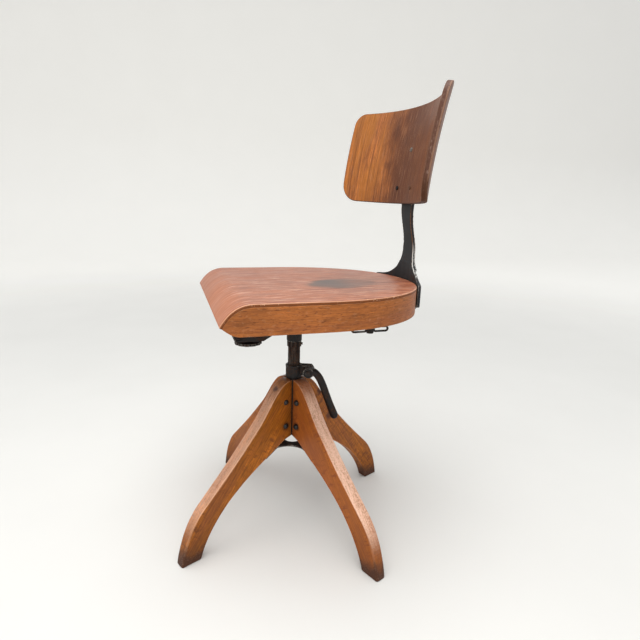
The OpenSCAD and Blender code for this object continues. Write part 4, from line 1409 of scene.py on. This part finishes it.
def floor_mesh():
    """A floor that curves up into a backdrop behind the chair."""
    reach, side, bend, wall, steps = 6.0, 8.0, 1.6, 4.0, 16
    profile = [(reach, 0.0), (-reach + bend, 0.0)]
    for i in range(1, steps + 1):
        a = math.pi / 2 * i / steps
        profile.append((-reach + bend - bend * math.sin(a), bend - bend * math.cos(a)))
    profile.append((-reach, wall))
    points, faces = [], []
    for depth, up in profile:
        points += [(depth, -side, up), (depth, side, up)]
    for i in range(len(profile) - 1):
        faces.append((2 * i, 2 * i + 1, 2 * i + 3, 2 * i + 2))
    mesh = bpy.data.meshes.new("floor")
    mesh.from_pydata(points, [], faces)
    for face in mesh.polygons:
        face.use_smooth = True
    return add_object("floor", mesh)


def floor_material():
    material, tree, out = new_material("Pale floor")
    place = place_of(tree)
    far = place.vector("LENGTH").step(0.9, 4.5, 0.0, 0.5)
    values = {
        "Base Color": mix(place.cloud(3.0, 3, 0.5), "DDDBD6", "E4E2DD"),
        "Roughness": 0.75,
        "Specular IOR Level": 0.2,
        "Emission Color": "E4E2DD",
        "Emission Strength": seen_plainly(tree) * far,
    }
    feed_all(out, values)
    return material


def area_light(name, at, aim, size, power, tint=(1, 1, 1)):
    data = bpy.data.lights.new(name, "AREA")
    data.shape = "RECTANGLE"
    data.size, data.size_y = size
    data.energy = power
    data.color = tint
    lamp = add_object(name, data)
    lamp.location = at
    lamp.rotation_euler = (Vector(aim) - Vector(at)).to_track_quat("-Z", "Y").to_euler()


def open_sky():
    """A soft sky, brightest overhead and in front of the chair."""
    world = bpy.data.worlds.new("sky")
    world.use_nodes = True
    tree = world.node_tree
    way = get(tree, "TexCoord", None, "Generated")
    light = way.z.step(-0.2, 1.0, 0.28, 0.85) * way.y.step(0.8, -0.8, 0.65, 1.15)
    back = tree.nodes["Background"].inputs
    feed(back["Color"], (0.94, 0.97, 1.0))
    seen = {0: seen_plainly(tree), 2: light, 3: 0.84}
    feed(back["Strength"], get(tree, "Mix", seen, data_type="FLOAT"))
    return world


class CHAIR_OT_stage(bpy.types.Operator):
    """Sets up the pale floor, the soft lights and the camera"""

    bl_idname = "chair.stage"
    bl_label = "Stage"

    def execute(self, context):
        scene = context.scene
        data = bpy.data.cameras.new("camera")
        data.sensor_width = 36
        data.lens = CAMERA_LENS
        data.clip_start, data.clip_end = 0.05, 60
        camera = add_object("camera", data)
        turn = Matrix((CAMERA_RIGHT, CAMERA_UP, CAMERA_BACK)).transposed().to_4x4()
        camera.matrix_world = Matrix.Translation(CAMERA_AT) @ turn
        scene.camera = camera
        if scene.chair_build.stage:
            floor = floor_mesh()
            floor.data.materials.append(floor_material())
            area_light("overhead", (0.5, -0.3, 2.8), (0, 0.0, 0.3), (2.6, 2.6), 68)
            area_light("front", (2.5, -0.7, 1.7), (0, 0, 0.4), (1.8, 1.6), 19, (1.0, 0.99, 0.97))
            scene.world = open_sky()
        scene.view_settings.view_transform = "Standard"
        return {"FINISHED"}


# The add-on

OPERATORS = (
    CHAIR_OT_stage,
    CHAIR_OT_legs,
    CHAIR_OT_seat_board,
    CHAIR_OT_side_board,
    CHAIR_OT_rails,
    CHAIR_OT_back_panel,
    CHAIR_OT_back_stem,
    CHAIR_OT_castings,
    CHAIR_OT_tilt_spring,
    CHAIR_OT_post,
    CHAIR_OT_fasteners,
)


class CHAIR_PT_pieces(bpy.types.Panel):
    """Lists the steps that build the chair"""

    bl_idname = "CHAIR_PT_pieces"
    bl_label = "Architects chair"
    bl_space_type = "VIEW_3D"
    bl_region_type = "UI"
    bl_category = "Chair"

    def draw(self, context):
        column = self.layout.column()
        for group in (context.scene.chair_finish, context.scene.chair_build):
            for name in group.bl_rna.properties.keys():
                if name not in ("rna_type", "name"):
                    column.prop(group, name)
        for operator in OPERATORS:
            column.operator(operator.bl_idname)


CLASSES = (ChairFinish, ChairBuild, *OPERATORS, CHAIR_PT_pieces)


def register():
    for cls in CLASSES:
        bpy.utils.register_class(cls)
    bpy.types.Scene.chair_finish = PointerProperty(type=ChairFinish)
    bpy.types.Scene.chair_build = PointerProperty(type=ChairBuild)


def unregister():
    del bpy.types.Scene.chair_build
    del bpy.types.Scene.chair_finish
    for cls in reversed(CLASSES):
        bpy.utils.unregister_class(cls)


def main():
    register()
    for operator in OPERATORS:
        group, name = operator.bl_idname.split(".")
        getattr(getattr(bpy.ops, group), name)()
    bpy.context.view_layer.update()


if __name__ == "__main__":
    main()
